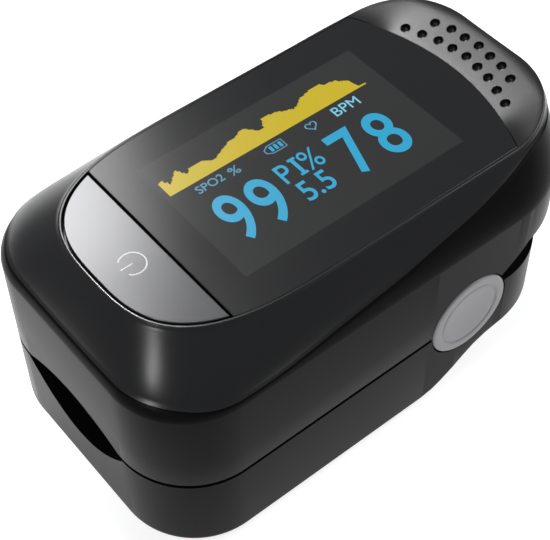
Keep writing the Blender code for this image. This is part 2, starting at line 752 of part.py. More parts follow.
lower = paint(clean(lower_block("lower_housing")), HOUSING_BLACK)
trim = [(-33, 25), (-33, JAW_Z - JAW_GAP / 2)]
start = math.asin((JAW_Z - JAW_GAP / 2 - PIVOT_Z) / EAR_R)
stop = math.asin((LEVER_TOP_Z - PIVOT_Z) / EAR_R)
for i in range(13):
    a = (math.pi - start) + (stop - (math.pi - start)) * i / 12
    trim.append((PIVOT_Y + EAR_R * math.cos(a), PIVOT_Z + EAR_R * math.sin(a)))
trim += [(33, LEVER_TOP_Z), (33, 25)]
cut(lower, hide(prism("lower_trim", trim, "X", -22, 22, cutters)))

# the trough for the lower pad, open at the front through the lens-shaped mouth
mouth_low = lens_arc(-LENS_DOWN, -0.2)
mouth_low = [(mouth_low[0][0], 13)] + mouth_low + [(mouth_low[-1][0], 13)]
cut(lower, hide(prism("mouth_low", mouth_low, "Y", -33, PAD_FRONT_Y + 1, cutters)))
TROUGH = [(-PAD_HALF, 13), (-PAD_HALF, 9.6), (-8.2, 6.6), (-4.2, 5.4), (4.2, 5.4), (8.2, 6.6),
          (PAD_HALF, 9.6), (PAD_HALF, 13)]
cut(lower, hide(prism("trough", TROUGH, "Y", PAD_FRONT_Y, PAD_REAR_Y + 0.2, cutters)))


def lower_plan(inset, front_y, side):
    """The lower jaw's inner plan behind front_y, for hollows."""
    full = plan_half(
        HALF_W - inset, FRONT_Y + inset, FRONT_R - inset,
        LEVER_REAR_Y - inset, LEVER_REAR_R - inset, side,
    )
    half = [(HALF_W - inset, front_y)] + [p for p in full if p[1] > front_y + 0.3]
    return half + [(-x, y) for x, y in reversed(half) if x > 1e-6]


HINGE_FRONT = 4.6
bay_plan = lower_plan(1.9, HINGE_FRONT, (8.0,))
cut(lower, hide(prism("hinge_hollow", bay_plan, "Z", 6.7, 22, cutters)))
for side in (-1, 1):
    low, high = sorted((side * 13.0, side * 16.1))
    side_hollow = [(-17, 8.2), (PAD_REAR_Y + 1.0, 8.2), (PAD_REAR_Y + 1.0, 13), (-17, 13)]
    cut(lower, hide(prism("side_hollow", side_hollow, "X", low, high, cutters)))
for side in (-1, 1):
    bore = cylinder("outer_bore", (side * 17, PIVOT_Y, PIVOT_Z), PIN_R + 0.01, 3.5, "X", 32, cutters)
    cut(lower, hide(bore))
for tool in recess:
    cut(lower, tool)

# battery bay in the base with a slide-off door
BAY_Z = 4.65
DOOR_T = 1.2
RAIL_HALF = 13.2
DOOR_FRONT = -22.5
DOOR_REAR = 4.2
cut(lower, hide(box("battery_bay", (-12.4, -22.2, -1), (12.4, 3.4, BAY_Z), group=cutters)))
SLOT_FRONT = DOOR_FRONT - 0.2
SLOT_TOP = DOOR_T + 0.15
RAIL_CUT = RAIL_HALF + 0.2
cut(lower, hide(box("door_slot", (-12.6, SLOT_FRONT, -1), (12.6, 12, SLOT_TOP), group=cutters)))
door_rail = box("door_rail", (-RAIL_CUT, SLOT_FRONT, 0.45), (RAIL_CUT, 14, SLOT_TOP), group=cutters)
cut(lower, hide(door_rail))
cable_way = hide(box("cable_way", (-2.6, 2.4, 3.4), (2.6, 6.9, 8.0), group=cutters))
cut(lower, cable_way)
cut(lower, hide(box("detector_seat", (-3.0, -15.9, 4.7), (3.0, -8.1, 6.5), group=cutters)))

door_profile = [(-12.4, 0.0), (12.4, 0.0), (12.4, 0.5), (RAIL_HALF, 0.6), (RAIL_HALF, DOOR_T)]
door_profile += [(-RAIL_HALF, DOOR_T), (-RAIL_HALF, 0.6), (-12.4, 0.5)]
door = prism("battery_door", door_profile, "Y", DOOR_FRONT, DOOR_REAR)
for i in range(4):
    groove = box("door_groove", (-5.0, -0.2 + i * 1.1, -0.5), (5.0, 0.35 + i * 1.1, 0.3), group=cutters)
    cut(door, hide(groove))
paint(door, HOUSING_BLACK)
battery = paint(box("battery_pack", (-11.9, -21.8, 1.5), (11.9, 3.0, 4.5), 0.8), CELL_SILVER)

# --- lower finger pad and light detector ---------------------------------------
valley = lens_arc(-LENS_DOWN, 0.0)
pad = [(-PAD_HALF + 0.2, JAW_Z - 0.25)] + [(x, z - 0.25) for x, z in valley]
pad += [(PAD_HALF - 0.2, JAW_Z - 0.25)]
pad += [(PAD_HALF - 0.2, 9.7), (8.1, 6.75), (4.1, 5.55), (-4.1, 5.55), (-8.1, 6.75), (-PAD_HALF + 0.2, 9.7)]
lower_pad = prism("lower_pad", pad, "Y", PAD_FRONT_Y + 0.2, PAD_REAR_Y)
cut(lower_pad, hide(box("lower_eye", (-2.8, -15.2, 4), (2.8, -8.8, 10), group=cutters)))
paint(lower_pad, SILICONE)
detector_window = paint(box("detector_window", (-2.6, -15.0, 5.85), (2.6, -9.0, 6.5), 0.25), CLEAR)
detector = paint(box("photodetector", (-1.8, -13.4, 5.35), (1.8, -10.6, 5.78), 0.1), CHIP_BLACK)
detector_board = paint(box("detector_board", (-2.8, -15.7, 4.8), (2.8, -8.3, 5.25)), BOARD_GREEN)

# --- hinge: pins, caps, torsion springs ----------------------------------------
for side, tag in ((-1, "l"), (1, "r")):
    pin = cylinder("hinge_pin_" + tag, (side * 15.4, PIVOT_Y, PIVOT_Z), PIN_R, 3.2, "X", 32)
    paint(pin, STEEL)
    profile = [(0.0, 0.0), (CAP_R - 0.1, 0.0), (CAP_R, 0.1), (CAP_R, CAP_T - 0.15), (CAP_R - 0.15, CAP_T)]
    profile += [(4.35, CAP_T), (4.2, CAP_T - 0.16), (3.95, CAP_T - 0.16), (3.8, CAP_T - 0.08)]
    profile += [(2.4, CAP_T - 0.22), (0.0, CAP_T - 0.27)]
    outward = "X" if side > 0 else "-X"
    spot = (side * (CAP_FACE_X - CAP_T), PIVOT_Y, PIVOT_Z)
    cap = turned("pivot_cap_" + tag, profile[::-1], spot, outward, 40)
    paint(cap, CAP_GREY)
    turns = 3.5
    coil = []
    inner = side * 8.6
    steps = int(turns * 12)
    for i in range(steps + 1):
        a = math.radians(-60) - i / 12 * 2 * math.pi
        x = inner + side * (i / steps) * 3.6
        coil.append((x, PIVOT_Y + 2.5 * math.cos(a), PIVOT_Z + 2.5 * math.sin(a)))
    first = (inner, 17.6, 7.2)
    last_a = math.radians(-60) - turns * 2 * math.pi
    last = (inner + side * 3.6, PIVOT_Y + 2.5 * math.cos(last_a), PIVOT_Z + 2.5 * math.sin(last_a))
    coil = [first, (inner, 14.0, 7.9)] + coil + [(last[0], 13.0, 15.15), (last[0], 15.8, 15.3)]
    wire("torsion_spring_" + tag, coil, 0.32, STEEL)

# --- flex cable: a tail in each jaw, meeting at the pivot line ------------------
lower_flex = [(3.0, 3.8), (4.4, 3.8), (6.0, 7.1), (7.4, 7.9), (9.0, 11.5), (9.0, 11.7)]
lower_flex += [(8.8, 11.7), (7.2, 8.1), (5.8, 7.3), (4.2, 4.0), (3.0, 4.0)]
paint(prism("lower_flex", lower_flex, "X", -2.2, 2.2), FLEX_AMBER)
upper_flex = [(9.0, 12.0), (7.4, 15.8), (7.4, 19.5), (12.4, 21.4), (12.4, 21.6)]
upper_flex += [(7.2, 19.7), (7.2, 15.8), (8.8, 12.0)]
paint(prism("upper_flex", upper_flex, "X", -2.2, 2.2), FLEX_AMBER)

# --- the parts that swing hang from an empty on the hinge line -------------------
def recentre(obj, point):
    """Puts an object's origin at a point and leaves its shape where it is."""
    at = Vector([c * MM for c in point])
    obj.data.transform(Matrix.Translation(obj.location - at))
    obj.location = at


recentre(button, (*STEM, PANEL_Z))
recentre(door, (0.0, DOOR_REAR, 0.0))
pivot = bpy.data.objects.new("jaw_pivot", None)
pivot.location = (0.0, PIVOT_Y * MM, PIVOT_Z * MM)
pivot.empty_display_size = 0.01
parts.objects.link(pivot)
bpy.context.view_layer.update()
STAYS = (
    "lower_", "battery_", "detector_", "photodetector", "hinge_pin_", "pivot_cap_", "torsion_spring_",
)
for obj in parts.objects:
    if obj.type != "EMPTY" and not obj.name.startswith(STAYS):
        obj.parent = pivot
        obj.matrix_parent_inverse = pivot.matrix_world.inverted()

print("nodes:", len([o for o in parts.objects if o.type != "EMPTY"]))
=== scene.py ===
# %% [markdown]
# # A fingertip pulse oximeter
#
# This notebook dresses a small medical clip: two sprung jaws, a smoked display panel, a
# silver power button and a grey pivot cap on each side. The engineering model fixes every
# size and every joint. The cells below add the fine surfaces, the screen and the finishes,
# and never move the engineering parts.

# %% Load the engineering model
import math

import bmesh
import bpy
from mathutils import Matrix, Vector


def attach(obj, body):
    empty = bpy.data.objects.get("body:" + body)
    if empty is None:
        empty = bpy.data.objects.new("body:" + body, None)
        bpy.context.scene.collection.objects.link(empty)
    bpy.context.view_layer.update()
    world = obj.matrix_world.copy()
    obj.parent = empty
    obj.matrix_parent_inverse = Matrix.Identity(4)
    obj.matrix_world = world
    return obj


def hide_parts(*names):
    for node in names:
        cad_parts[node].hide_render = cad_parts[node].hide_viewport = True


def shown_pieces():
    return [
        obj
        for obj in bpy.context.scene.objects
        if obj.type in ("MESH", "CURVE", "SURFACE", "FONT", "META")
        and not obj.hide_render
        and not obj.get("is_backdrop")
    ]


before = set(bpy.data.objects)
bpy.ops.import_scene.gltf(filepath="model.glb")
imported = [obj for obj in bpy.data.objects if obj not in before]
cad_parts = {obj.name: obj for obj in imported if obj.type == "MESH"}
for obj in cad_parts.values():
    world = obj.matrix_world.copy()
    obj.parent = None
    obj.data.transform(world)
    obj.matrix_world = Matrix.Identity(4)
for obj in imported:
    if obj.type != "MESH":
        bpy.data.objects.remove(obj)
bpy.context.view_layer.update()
MM = 0.001

# %% [markdown]
# ## The eye comes first
#
# The view is set before any piece is made, so each new piece can be judged in it. The
# oximeter is seen from its front right corner and well above, through a long lens that
# keeps its edges nearly parallel. The camera's matrix is put together from three unit
# vectors: right, up and backwards. A very small roll is part of the same matrix.

# %% Camera
AZIMUTH = math.radians(51.51)
ELEVATION = math.radians(50.47)
ROLL = math.radians(-0.71)
AIM = Vector((0.0, -0.00274, 0.0130))
DISTANCE = 0.16129

back = Vector(
    (
        math.sin(AZIMUTH) * math.cos(ELEVATION),
        -math.cos(AZIMUTH) * math.cos(ELEVATION),
        math.sin(ELEVATION),
    )
)
level_right = Vector((math.cos(AZIMUTH), math.sin(AZIMUTH), 0.0))
level_up = back.cross(level_right)
right = level_right * math.cos(ROLL) + level_up * math.sin(ROLL)
up = level_up * math.cos(ROLL) - level_right * math.sin(ROLL)

lens = bpy.data.cameras.new("studio_camera")
lens.sensor_width = 36.0
lens.lens = 92.48
lens.clip_start = 0.01
eye = bpy.data.objects.new("studio_camera", lens)
bpy.context.scene.collection.objects.link(eye)
turn = Matrix((right, up, back)).transposed()
eye.matrix_world = Matrix.Translation(AIM + back * DISTANCE) @ turn.to_4x4()
bpy.context.scene.camera = eye
print("camera at, mm:", [round(c / MM, 1) for c in eye.matrix_world.translation])

# %% [markdown]
# ## Light and floor
#
# A black gloss object is drawn by what it mirrors. The room is a dim, even grey, the floor
# is pale, and one large soft panel hangs up and behind on the left. Its mirror image falls
# across the button and the near end of the display window, and fades to black along it.
# Two small panels higher up are mirrored only by the sloping grip, and one far in front
# draws the highlight on the near front corner. The floor is a light table: it glows evenly,
# and twice as much in a soft pool before the left of the front wall, which is what that
# wall mirrors. The pool's centre and its two radii are in metres.

# %% Room and soft panels
world = bpy.data.worlds.new("grey_room")
world.use_nodes = True
world.node_tree.nodes["Background"].inputs["Color"].default_value = (0.92, 0.95, 1.0, 1.0)
world.node_tree.nodes["Background"].inputs["Strength"].default_value = 0.30
bpy.context.scene.world = world
bpy.context.scene.view_settings.view_transform = "Standard"


def soft_panel(name, spot, target, size_x, size_y, power):
    """A rectangular area light in millimetres, turned to face its target."""
    light = bpy.data.lights.new(name, "AREA")
    light.shape = "RECTANGLE"
    light.size = size_x * MM
    light.size_y = size_y * MM
    light.energy = power
    holder = bpy.data.objects.new(name, light)
    bpy.context.scene.collection.objects.link(holder)
    spot = Vector(spot) * MM
    aim = (Vector(target) * MM - spot).to_track_quat("-Z", "Y")
    holder.matrix_world = Matrix.Translation(spot) @ aim.to_matrix().to_4x4()


soft_panel("left_panel", (-171, 33, 184), (-11, -19, 29), 78, 80, 0.155)
soft_panel("grip_panel", (-172, 11, 306), (8, 24, 30), 44, 44, 0.72)
soft_panel("grip_far_panel", (-146, 48, 404), (-10, 24, 30), 50, 50, 0.2)
soft_panel("corner_panel", (60, -400, 420), (9, -28, 26), 70, 110, 0.35)
soft_panel("far_floor_light", (300, 900, 900), (0, 100, 0), 700, 500, 6.5)

# %% The light table
FLOOR_GLOW, POOL_GLOW = 0.8, 1.6
POOL_CENTRE, POOL_CORE, POOL_EDGE = (-0.034, -0.062, 0.0), 0.012, 0.060

bm = bmesh.new()
bmesh.ops.create_grid(bm, x_segments=1, y_segments=1, size=1.5)
floor_mesh = bpy.data.meshes.new("floor")
bm.to_mesh(floor_mesh)
bm.free()
floor = bpy.data.objects.new("floor", floor_mesh)
bpy.context.scene.collection.objects.link(floor)
floor_mat = bpy.data.materials.new("pale_floor")
floor_mat.use_nodes = True
tree = floor_mat.node_tree
shader = tree.nodes["Principled BSDF"]
shader.inputs["Base Color"].default_value = (0.42, 0.42, 0.42, 1)
shader.inputs["Roughness"].default_value = 0.9
shader.inputs["Emission Color"].default_value = (1, 1, 1, 1)
spot = tree.nodes.new("ShaderNodeTexCoord")
pool_gap = tree.nodes.new("ShaderNodeVectorMath")
pool_gap.operation = "DISTANCE"
pool_gap.inputs[1].default_value = POOL_CENTRE
tree.links.new(spot.outputs["Object"], pool_gap.inputs[0])
pool = tree.nodes.new("ShaderNodeMapRange")
pool.interpolation_type = "SMOOTHSTEP"
pool.inputs["From Min"].default_value = POOL_CORE
pool.inputs["From Max"].default_value = POOL_EDGE
pool.inputs["To Min"].default_value = POOL_GLOW
pool.inputs["To Max"].default_value = FLOOR_GLOW
tree.links.new(pool_gap.outputs["Value"], pool.inputs["Value"])
tree.links.new(pool.outputs["Result"], shader.inputs["Emission Strength"])
floor_mesh.materials.append(floor_mat)
floor.location.z = -0.0002
floor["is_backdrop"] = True

# %% [markdown]
# ## One shared texture tool
#
# Moulded plastic is never perfectly even. The mould leaves a very fine grain, and hands
# leave faint smears that change only the gloss. Both are wanted in almost every finish
# here, so they are built once, as a node group: it takes a size for the grain and one for
# the smears, and gives back a height for a Bump node and a mask between 0 and 1.

# %% The surface group
surface = bpy.data.node_groups.new("moulded_surface", "ShaderNodeTree")
for label, value in (("Grain Scale", 9000.0), ("Smear Scale", 90.0)):
    socket = surface.interface.new_socket(label, in_out="INPUT", socket_type="NodeSocketFloat")
    socket.default_value = value
surface.interface.new_socket("Height", in_out="OUTPUT", socket_type="NodeSocketFloat")
surface.interface.new_socket("Smear", in_out="OUTPUT", socket_type="NodeSocketFloat")
group_in = surface.nodes.new("NodeGroupInput")
group_out = surface.nodes.new("NodeGroupOutput")
place = surface.nodes.new("ShaderNodeTexCoord")
grain = surface.nodes.new("ShaderNodeTexNoise")
grain.inputs["Detail"].default_value = 3.0
smear = surface.nodes.new("ShaderNodeTexNoise")
smear.inputs["Detail"].default_value = 2.0
smear.inputs["Distortion"].default_value = 0.2
surface.links.new(place.outputs["Object"], grain.inputs["Vector"])
surface.links.new(place.outputs["Object"], smear.inputs["Vector"])
surface.links.new(group_in.outputs["Grain Scale"], grain.inputs["Scale"])
surface.links.new(group_in.outputs["Smear Scale"], smear.inputs["Scale"])
surface.links.new(grain.outputs["Fac"], group_out.inputs["Height"])
surface.links.new(smear.outputs["Fac"], group_out.inputs["Smear"])
print("group outputs:", [s.name for s in surface.interface.items_tree if s.in_out == "OUTPUT"])

# %% [markdown]
# ## Finishes
#
# Every finish is a Principled shader. Its constant values sit on its own sockets, and only
# colour, roughness and normal are driven by the group: the colour drifts by a few percent,
# the roughness follows the smears, and the grain goes through a Bump node.


# %% A maker of finishes
def finish(
    name, colour, rough, metal=0.0, coat=0.0, grain_mm=0.12, depth=0.0004, drift=0.06, shine=0.5
):
    """A Principled material with grain of a given size and depth, and smears in its gloss."""
    mat = bpy.data.materials.new(name)
    mat.use_nodes = True
    tree = mat.node_tree
    shader = tree.nodes["Principled BSDF"]
    shader.inputs["Specular IOR Level"].default_value = shine
    shader.inputs["Metallic"].default_value = metal
    shader.inputs["Coat Weight"].default_value = coat
    shader.inputs["Coat Roughness"].default_value = 0.06
    node = tree.nodes.new("ShaderNodeGroup")
    node.node_tree = surface
    node.inputs["Grain Scale"].default_value = 1000.0 / grain_mm
    node.inputs["Smear Scale"].default_value = 70.0
    tint = tree.nodes.new("ShaderNodeMix")
    tint.data_type = "RGBA"
    tint.inputs["A"].default_value = (*(c * (1 - drift) for c in colour), 1)
    tint.inputs["B"].default_value = (*(min(1.0, c * (1 + drift)) for c in colour), 1)
    tree.links.new(node.outputs["Smear"], tint.inputs["Factor"])
    tree.links.new(tint.outputs["Result"], shader.inputs["Base Color"])
    gloss = tree.nodes.new("ShaderNodeMapRange")
    gloss.inputs["From Min"].default_value = 0.3
    gloss.inputs["From Max"].default_value = 0.7
    gloss.inputs["To Min"].default_value = rough * 0.94
    gloss.inputs["To Max"].default_value = min(1.0, rough * 1.06)
    tree.links.new(node.outputs["Smear"], gloss.inputs["Value"])
    tree.links.new(gloss.outputs["Result"], shader.inputs["Roughness"])
    bump = tree.nodes.new("ShaderNodeBump")
    bump.inputs["Strength"].default_value = 0.5
    bump.inputs["Distance"].default_value = depth * MM
    tree.links.new(node.outputs["Height"], bump.inputs["Height"])
    tree.links.new(bump.outputs["Normal"], shader.inputs["Normal"])
    return mat


COVER = finish("cover_gloss_black", (0.007, 0.007, 0.0073), 0.25, shine=0.45)
HOUSING = finish("housing_satin_black", (0.006, 0.0055, 0.006), 0.30, grain_mm=0.16, shine=0.045)
BUTTON = finish("button_satin_silver", (0.108, 0.108, 0.11), 0.2, metal=0.9, grain_mm=0.05)
MARKING = finish("button_marking", (0.62, 0.62, 0.62), 0.35)
CAP = finish("cap_moulded_grey", (0.25, 0.24, 0.25), 0.42, grain_mm=0.1, depth=0.001)
SILICONE = finish("silicone_black", (0.016, 0.016, 0.018), 0.62, grain_mm=0.2, depth=0.004)
FOAM = finish("foam_black", (0.02, 0.02, 0.02), 0.95, grain_mm=0.35, depth=0.05)
STEEL = finish("bright_steel", (0.56, 0.56, 0.57), 0.24, metal=1.0, grain_mm=0.08, depth=0.0008)
BOARD = finish(
    "solder_resist_green", (0.012, 0.13, 0.05), 0.35, coat=0.3, grain_mm=0.5, depth=0.004
)
CHIP = finish("chip_compound", (0.016, 0.016, 0.017), 0.55, grain_mm=0.09, depth=0.003)
POUCH = finish("pouch_foil", (0.62, 0.62, 0.64), 0.34, metal=0.85, grain_mm=0.8, depth=0.02)
FLEX = finish("polyimide_amber", (0.50, 0.20, 0.03), 0.28, coat=0.4, grain_mm=0.3, depth=0.001)
WHITE = finish("moulded_white", (0.74, 0.74, 0.72), 0.42, grain_mm=0.15, depth=0.002)
OPTIC = finish("optic_window", (0.30, 0.02, 0.02), 0.10, coat=0.8, grain_mm=0.4, depth=0.0003)
DISPLAY_GLASS = finish(
    "display_glass", (0.015, 0.015, 0.02), 0.06, coat=0.6, grain_mm=0.6, depth=0.0002
)
print("finishes:", len(bpy.data.materials))

# %% [markdown]
# ## Shapes that follow a rule
#
# The body is one skin. Seen from above it is a rounded rectangle, and the display panel is
# an oval inside it. A cubic curve climbs from one to the other. With the two outlines cut
# into the same number of points, any height on the shoulder is a ring between them, and
# the skin can be raised ring by ring with the extrude operator.

# %% The two outlines, in millimetres
HALF_W = 18.0
FRONT_Y, FRONT_R = -30.46, 9.25
REAR_Y, REAR_R = 30.46, 13.4
PANEL_HALF_W, PANEL_FRONT_Y, PANEL_SPLIT_Y = 14.1, -26.05, -5.0
RIM_REAR_Y, RIM_R = 29.1, 9.8
SHOULDER_Z, SHOULDER_TOP_Z, PANEL_Z = 23.2, 29.08, 29.25
JAW_Z = 11.5
PIVOT_Y, PIVOT_Z = 10.62, 11.92
CORNER_STEPS = 22
OVAL_POWER = 2 / 3


def arc(centre_x, centre_y, radius, start, stop, steps):
    """Points on part of a circle, angles in degrees."""
    found = []
    for i in range(steps + 1):
        a = math.radians(start + (stop - start) * i / steps)
        found.append((centre_x + radius * math.cos(a), centre_y + radius * math.sin(a)))
    return found


def half_plan(half_w, front_y, front_r, rear_y, rear_r, side):
    """The right half of a rounded rectangle, front middle to rear middle."""
    flat = (half_w - front_r) / 4
    points = [(flat * i, front_y) for i in range(4)]
    points += arc(half_w - front_r, front_y + front_r, front_r, -90, 0, CORNER_STEPS)
    points += [(half_w, y) for y in side]
    points += arc(half_w - rear_r, rear_y - rear_r, rear_r, 0, 90, CORNER_STEPS + 6)
    flat = (half_w - rear_r) / 3
    return points + [(flat * i, rear_y) for i in (2, 1, 0)]


def mirrored(half):
    """The whole ring from its right half."""
    return half + [(-x, y) for x, y in reversed(half[1:-1])]


def running(points):
    """Distance along a line of points."""
    total = [0.0]
    for a, b in zip(points, points[1:]):
        total.append(total[-1] + math.dist(a, b))
    return total


def at_shares(points, shares):
    """The points that lie at given shares of a line's length."""
    total = running(points)
    found, i = [], 0
    for share in shares:
        want = share * total[-1]
        while i < len(points) - 2 and total[i + 1] < want:
            i += 1
        t = (want - total[i]) / max(total[i + 1] - total[i], 1e-9)
        t = min(max(t, 0.0), 1.0)
        found.append(tuple(a + (b - a) * t for a, b in zip(points[i], points[i + 1])))
    return found


def oval_front(inset):
    """The oval's front: a superellipse from the nose to the widest line."""
    found = []
    for i in range(181):
        a = i / 180 * math.pi / 2
        x = (PANEL_HALF_W - inset) * math.sin(a) ** OVAL_POWER
        reach = PANEL_SPLIT_Y - PANEL_FRONT_Y - inset
        found.append((x, PANEL_SPLIT_Y - reach * math.cos(a) ** OVAL_POWER))
    return found


def oval_rear(inset):
    """The oval's rear: a straight side, then a round corner."""
    found = [(PANEL_HALF_W - inset, PANEL_SPLIT_Y)]
    found += arc(PANEL_HALF_W - RIM_R, RIM_REAR_Y - RIM_R, RIM_R - inset, 0, 90, 60)
    return found + [(0.0, RIM_REAR_Y - inset)]


SIDE = [-19.0, -17.0, -15.0, -13.0, -11.0, -9.0, -7.0, -5.0, -3.0, -1.0, 1.0, 3.0, 5.0, 7.0]
SIDE += [9.0, 11.0, 13.0, 15.0]
outer_half = half_plan(HALF_W, FRONT_Y, FRONT_R, REAR_Y, REAR_R, SIDE)
split = next(i for i, p in enumerate(outer_half) if abs(p[1] - PANEL_SPLIT_Y) < 1e-6)
front_run = running(outer_half[: split + 1])
rear_run = running(outer_half[split:])
oval_half = at_shares(oval_front(0.0), [r / front_run[-1] for r in front_run])[:-1]
oval_half += at_shares(oval_rear(0.0), [r / rear_run[-1] for r in rear_run])
OUTER, OVAL = mirrored(outer_half), mirrored(oval_half)
COLUMNS = len(OUTER)
print("points round the skin:", COLUMNS)

# %% [markdown]
# ## Heights on the skin
#
# The top face is flat as far as a shallow arc near the far end. Past that arc it steps
# down a little and ramps up to the raised rim of the grip. Both fade out at the corners.
# The line where the cover meets the housing is level round the front and climbs to the rim
# at the rear; it is a smooth curve through a few heights.

# %% Ramp, shoulder and parting line
GRIP_Y, GRIP_BEND = 23.22, 55.0
STEP_EARLY, STEP_DOWN = 0.7, 0.40
RAMP_SLOPE, CORNER_SLOPE = 0.28, 0.26
FULL_RISE, LAST_RISE = 1.04, 0.26


def grip_line(x):
    """Where the flat window ends and the grip begins."""
    return GRIP_Y - x * x / GRIP_BEND


def ease(y, start, stop):
    """0 before start, 1 after stop, smooth between."""
    t = min(max((y - start) / (stop - start), 0.0), 1.0)
    return t * t * (3 - 2 * t)


def top_z(x, y):
    """Height of the top face: flat, then a step down and a ramp that fade out at the corners."""
    beyond = y - grip_line(x)
    if beyond <= -STEP_EARLY:
        return PANEL_Z
    ramp = RAMP_SLOPE * beyond - STEP_DOWN
    over = max(beyond, 0.0)
    corner = CORNER_SLOPE * over * over / (over + 2.0)
    rise = ramp + (corner - ramp) * ease(abs(x), 8.5, 12.5)
    if rise > FULL_RISE:
        rise = FULL_RISE + LAST_RISE * (1 - math.exp(-(rise - FULL_RISE) / LAST_RISE))
    return PANEL_Z + rise


PARTING = [(-33, 24.5), (-28, 24.45), (-24, 24.05), (-19, 23.85), (-14, 24.1), (-9, 24.6)]
PARTING += [(-4, 25.0), (1, 25.4), (6, 26.0), (11, 26.55), (15, 27.2), (18, 27.8), (21, 28.45)]
PARTING += [(24, 28.9), (28, 29.2), (33, 29.35)]


def parting_z(y):
    """Height of the line between cover and housing, smooth through its points."""
    i = 0
    while i < len(PARTING) - 2 and PARTING[i + 1][0] < y:
        i += 1
    p = [PARTING[min(max(k, 0), len(PARTING) - 1)] for k in (i - 1, i, i + 1, i + 2)]
    span = p[2][0] - p[1][0]
    t = (y - p[1][0]) / span
    m1 = (p[2][1] - p[0][1]) / max(p[2][0] - p[0][0], 1e-9) * span
    m2 = (p[3][1] - p[1][1]) / max(p[3][0] - p[1][0], 1e-9) * span
    a, b = 2 * t**3 - 3 * t**2 + 1, t**3 - 2 * t**2 + t
    return a * p[1][1] + b * m1 + (1 - a) * p[2][1] + (t**3 - t**2) * m2


def on_skin(i, q, inset=0.0):
    """A point of column i: q is 0 at the foot of the shoulder and 1 at the panel's rim."""
    knots = ((0.0, SHOULDER_Z), (0.02, 24.3), (0.37, 26.3), (1.0, SHOULDER_TOP_Z))
    w = ((1 - q) ** 3, 3 * q * (1 - q) ** 2, 3 * q * q * (1 - q), q**3)
    share, z = (sum(a * k[j] for a, k in zip(w, knots)) for j in (0, 1))
    (ax, ay), (bx, by) = OUTER[i], OVAL[i]
    rim = top_z(bx, by) - 0.17
    height = SHOULDER_Z + (rim - SHOULDER_Z) * (z - SHOULDER_Z) / (SHOULDER_TOP_Z - SHOULDER_Z)
    reach = math.dist((ax, ay), (bx, by))
    share += inset / reach
    return Vector((ax + (bx - ax) * share, ay + (by - ay) * share, height))


def q_where(i, test):
    """The q of column i at which a rising test turns positive."""
    low, high = 0.0, 1.0
    for _ in range(24):
        middle = (low + high) / 2
        if test(on_skin(i, middle)) > 0:
            high = middle
        else:
            low = middle
    return high


parting_q = [q_where(i, lambda p: p.z - parting_z(p.y)) for i in range(COLUMNS)]
print("parting line runs from", round(min(parting_q), 2), "to", round(max(parting_q), 2))


# %% [markdown]
# ## Raising a skin ring by ring
#
# `extrude_edge_only` copies a closed ring of edges and joins the copy to the old one with
# quads. Moving the copy's points to their new places gives the next level. The order of
# the points is kept, so a shape can narrow, round over and come back down inside itself.

# %% Small modelling tools
SHARP = 32.0  # degrees
PLANE_AREA = 3.0 * MM * MM


def ring_edges(bm, ring):
    """The edges between a closed ring's points, in order."""
    return [bm.edges.get((a, b)) for a, b in zip(ring, ring[1:] + ring[:1])]


def first_ring(bm, points):
    """A closed ring of edges; points in millimetres."""
    ring = [bm.verts.new(Vector(p) * MM) for p in points]
    for a, b in zip(ring, ring[1:] + ring[:1]):
        bm.edges.new((a, b))
    return ring


def next_ring(bm, ring, points):
    """Extrudes the ring and puts the copy at the new points."""
    made = bmesh.ops.extrude_edge_only(bm, edges=ring_edges(bm, ring))["geom"]
    fresh = {v for v in made if isinstance(v, bmesh.types.BMVert)}
    copy = []
    for vert, point in zip(ring, points):
        twin = next(e.other_vert(vert) for e in vert.link_edges if e.other_vert(vert) in fresh)
        twin.co = Vector(point) * MM
        copy.append(twin)
    return copy


def cap_ring(bm, ring):
    """Closes a ring with one face."""
    bmesh.ops.contextual_create(bm, geom=ring + ring_edges(bm, ring))


def shade(mesh, sharp):
    """Smooth shading that stops at corners and leaves every large plane face flat."""
    mesh.shade_smooth()
    mesh.set_sharp_from_angle(angle=math.radians(sharp))
    for face in mesh.polygons:
        if len(face.vertices) > 4 and face.area > PLANE_AREA:
            face.use_smooth = False


def to_object(bm, name, sharp=SHARP):
    """Turns a bmesh into a smooth-shaded object whose faces point outwards."""
    bmesh.ops.remove_doubles(bm, verts=bm.verts, dist=1e-7)
    bmesh.ops.recalc_face_normals(bm, faces=bm.faces)
    mesh = bpy.data.meshes.new(name)
    bm.to_mesh(mesh)
    bm.free()
    shade(mesh, sharp)
    obj = bpy.data.objects.new(name, mesh)
    bpy.context.scene.collection.objects.link(obj)
    return obj


def slab(name, outline, axis, low, high, edge=0.0, steps=2, ends=(True, True)):
    """An outline pushed along X, Y or Z, with the rims of its ends rounded."""
    place = {
        "X": lambda u, v, h: (h, u, v),
        "Y": lambda u, v, h: (u, h, v),
        "Z": lambda u, v, h: (u, v, h),
    }[axis]
    bm = bmesh.new()
    base = first_ring(bm, [place(u, v, low) for u, v in outline])
    lid = next_ring(bm, base, [place(u, v, high) for u, v in outline])
    cap_ring(bm, base)
    cap_ring(bm, lid)
    bmesh.ops.recalc_face_normals(bm, faces=bm.faces)
    if edge:
        rims = [e for ring, use in zip((base, lid), ends) if use for e in ring_edges(bm, ring)]
        bmesh.ops.bevel(
            bm, geom=rims, offset=edge * MM, segments=steps, profile=0.5, affect="EDGES",
            clamp_overlap=True, material=-1,
        )
    return to_object(bm, name)


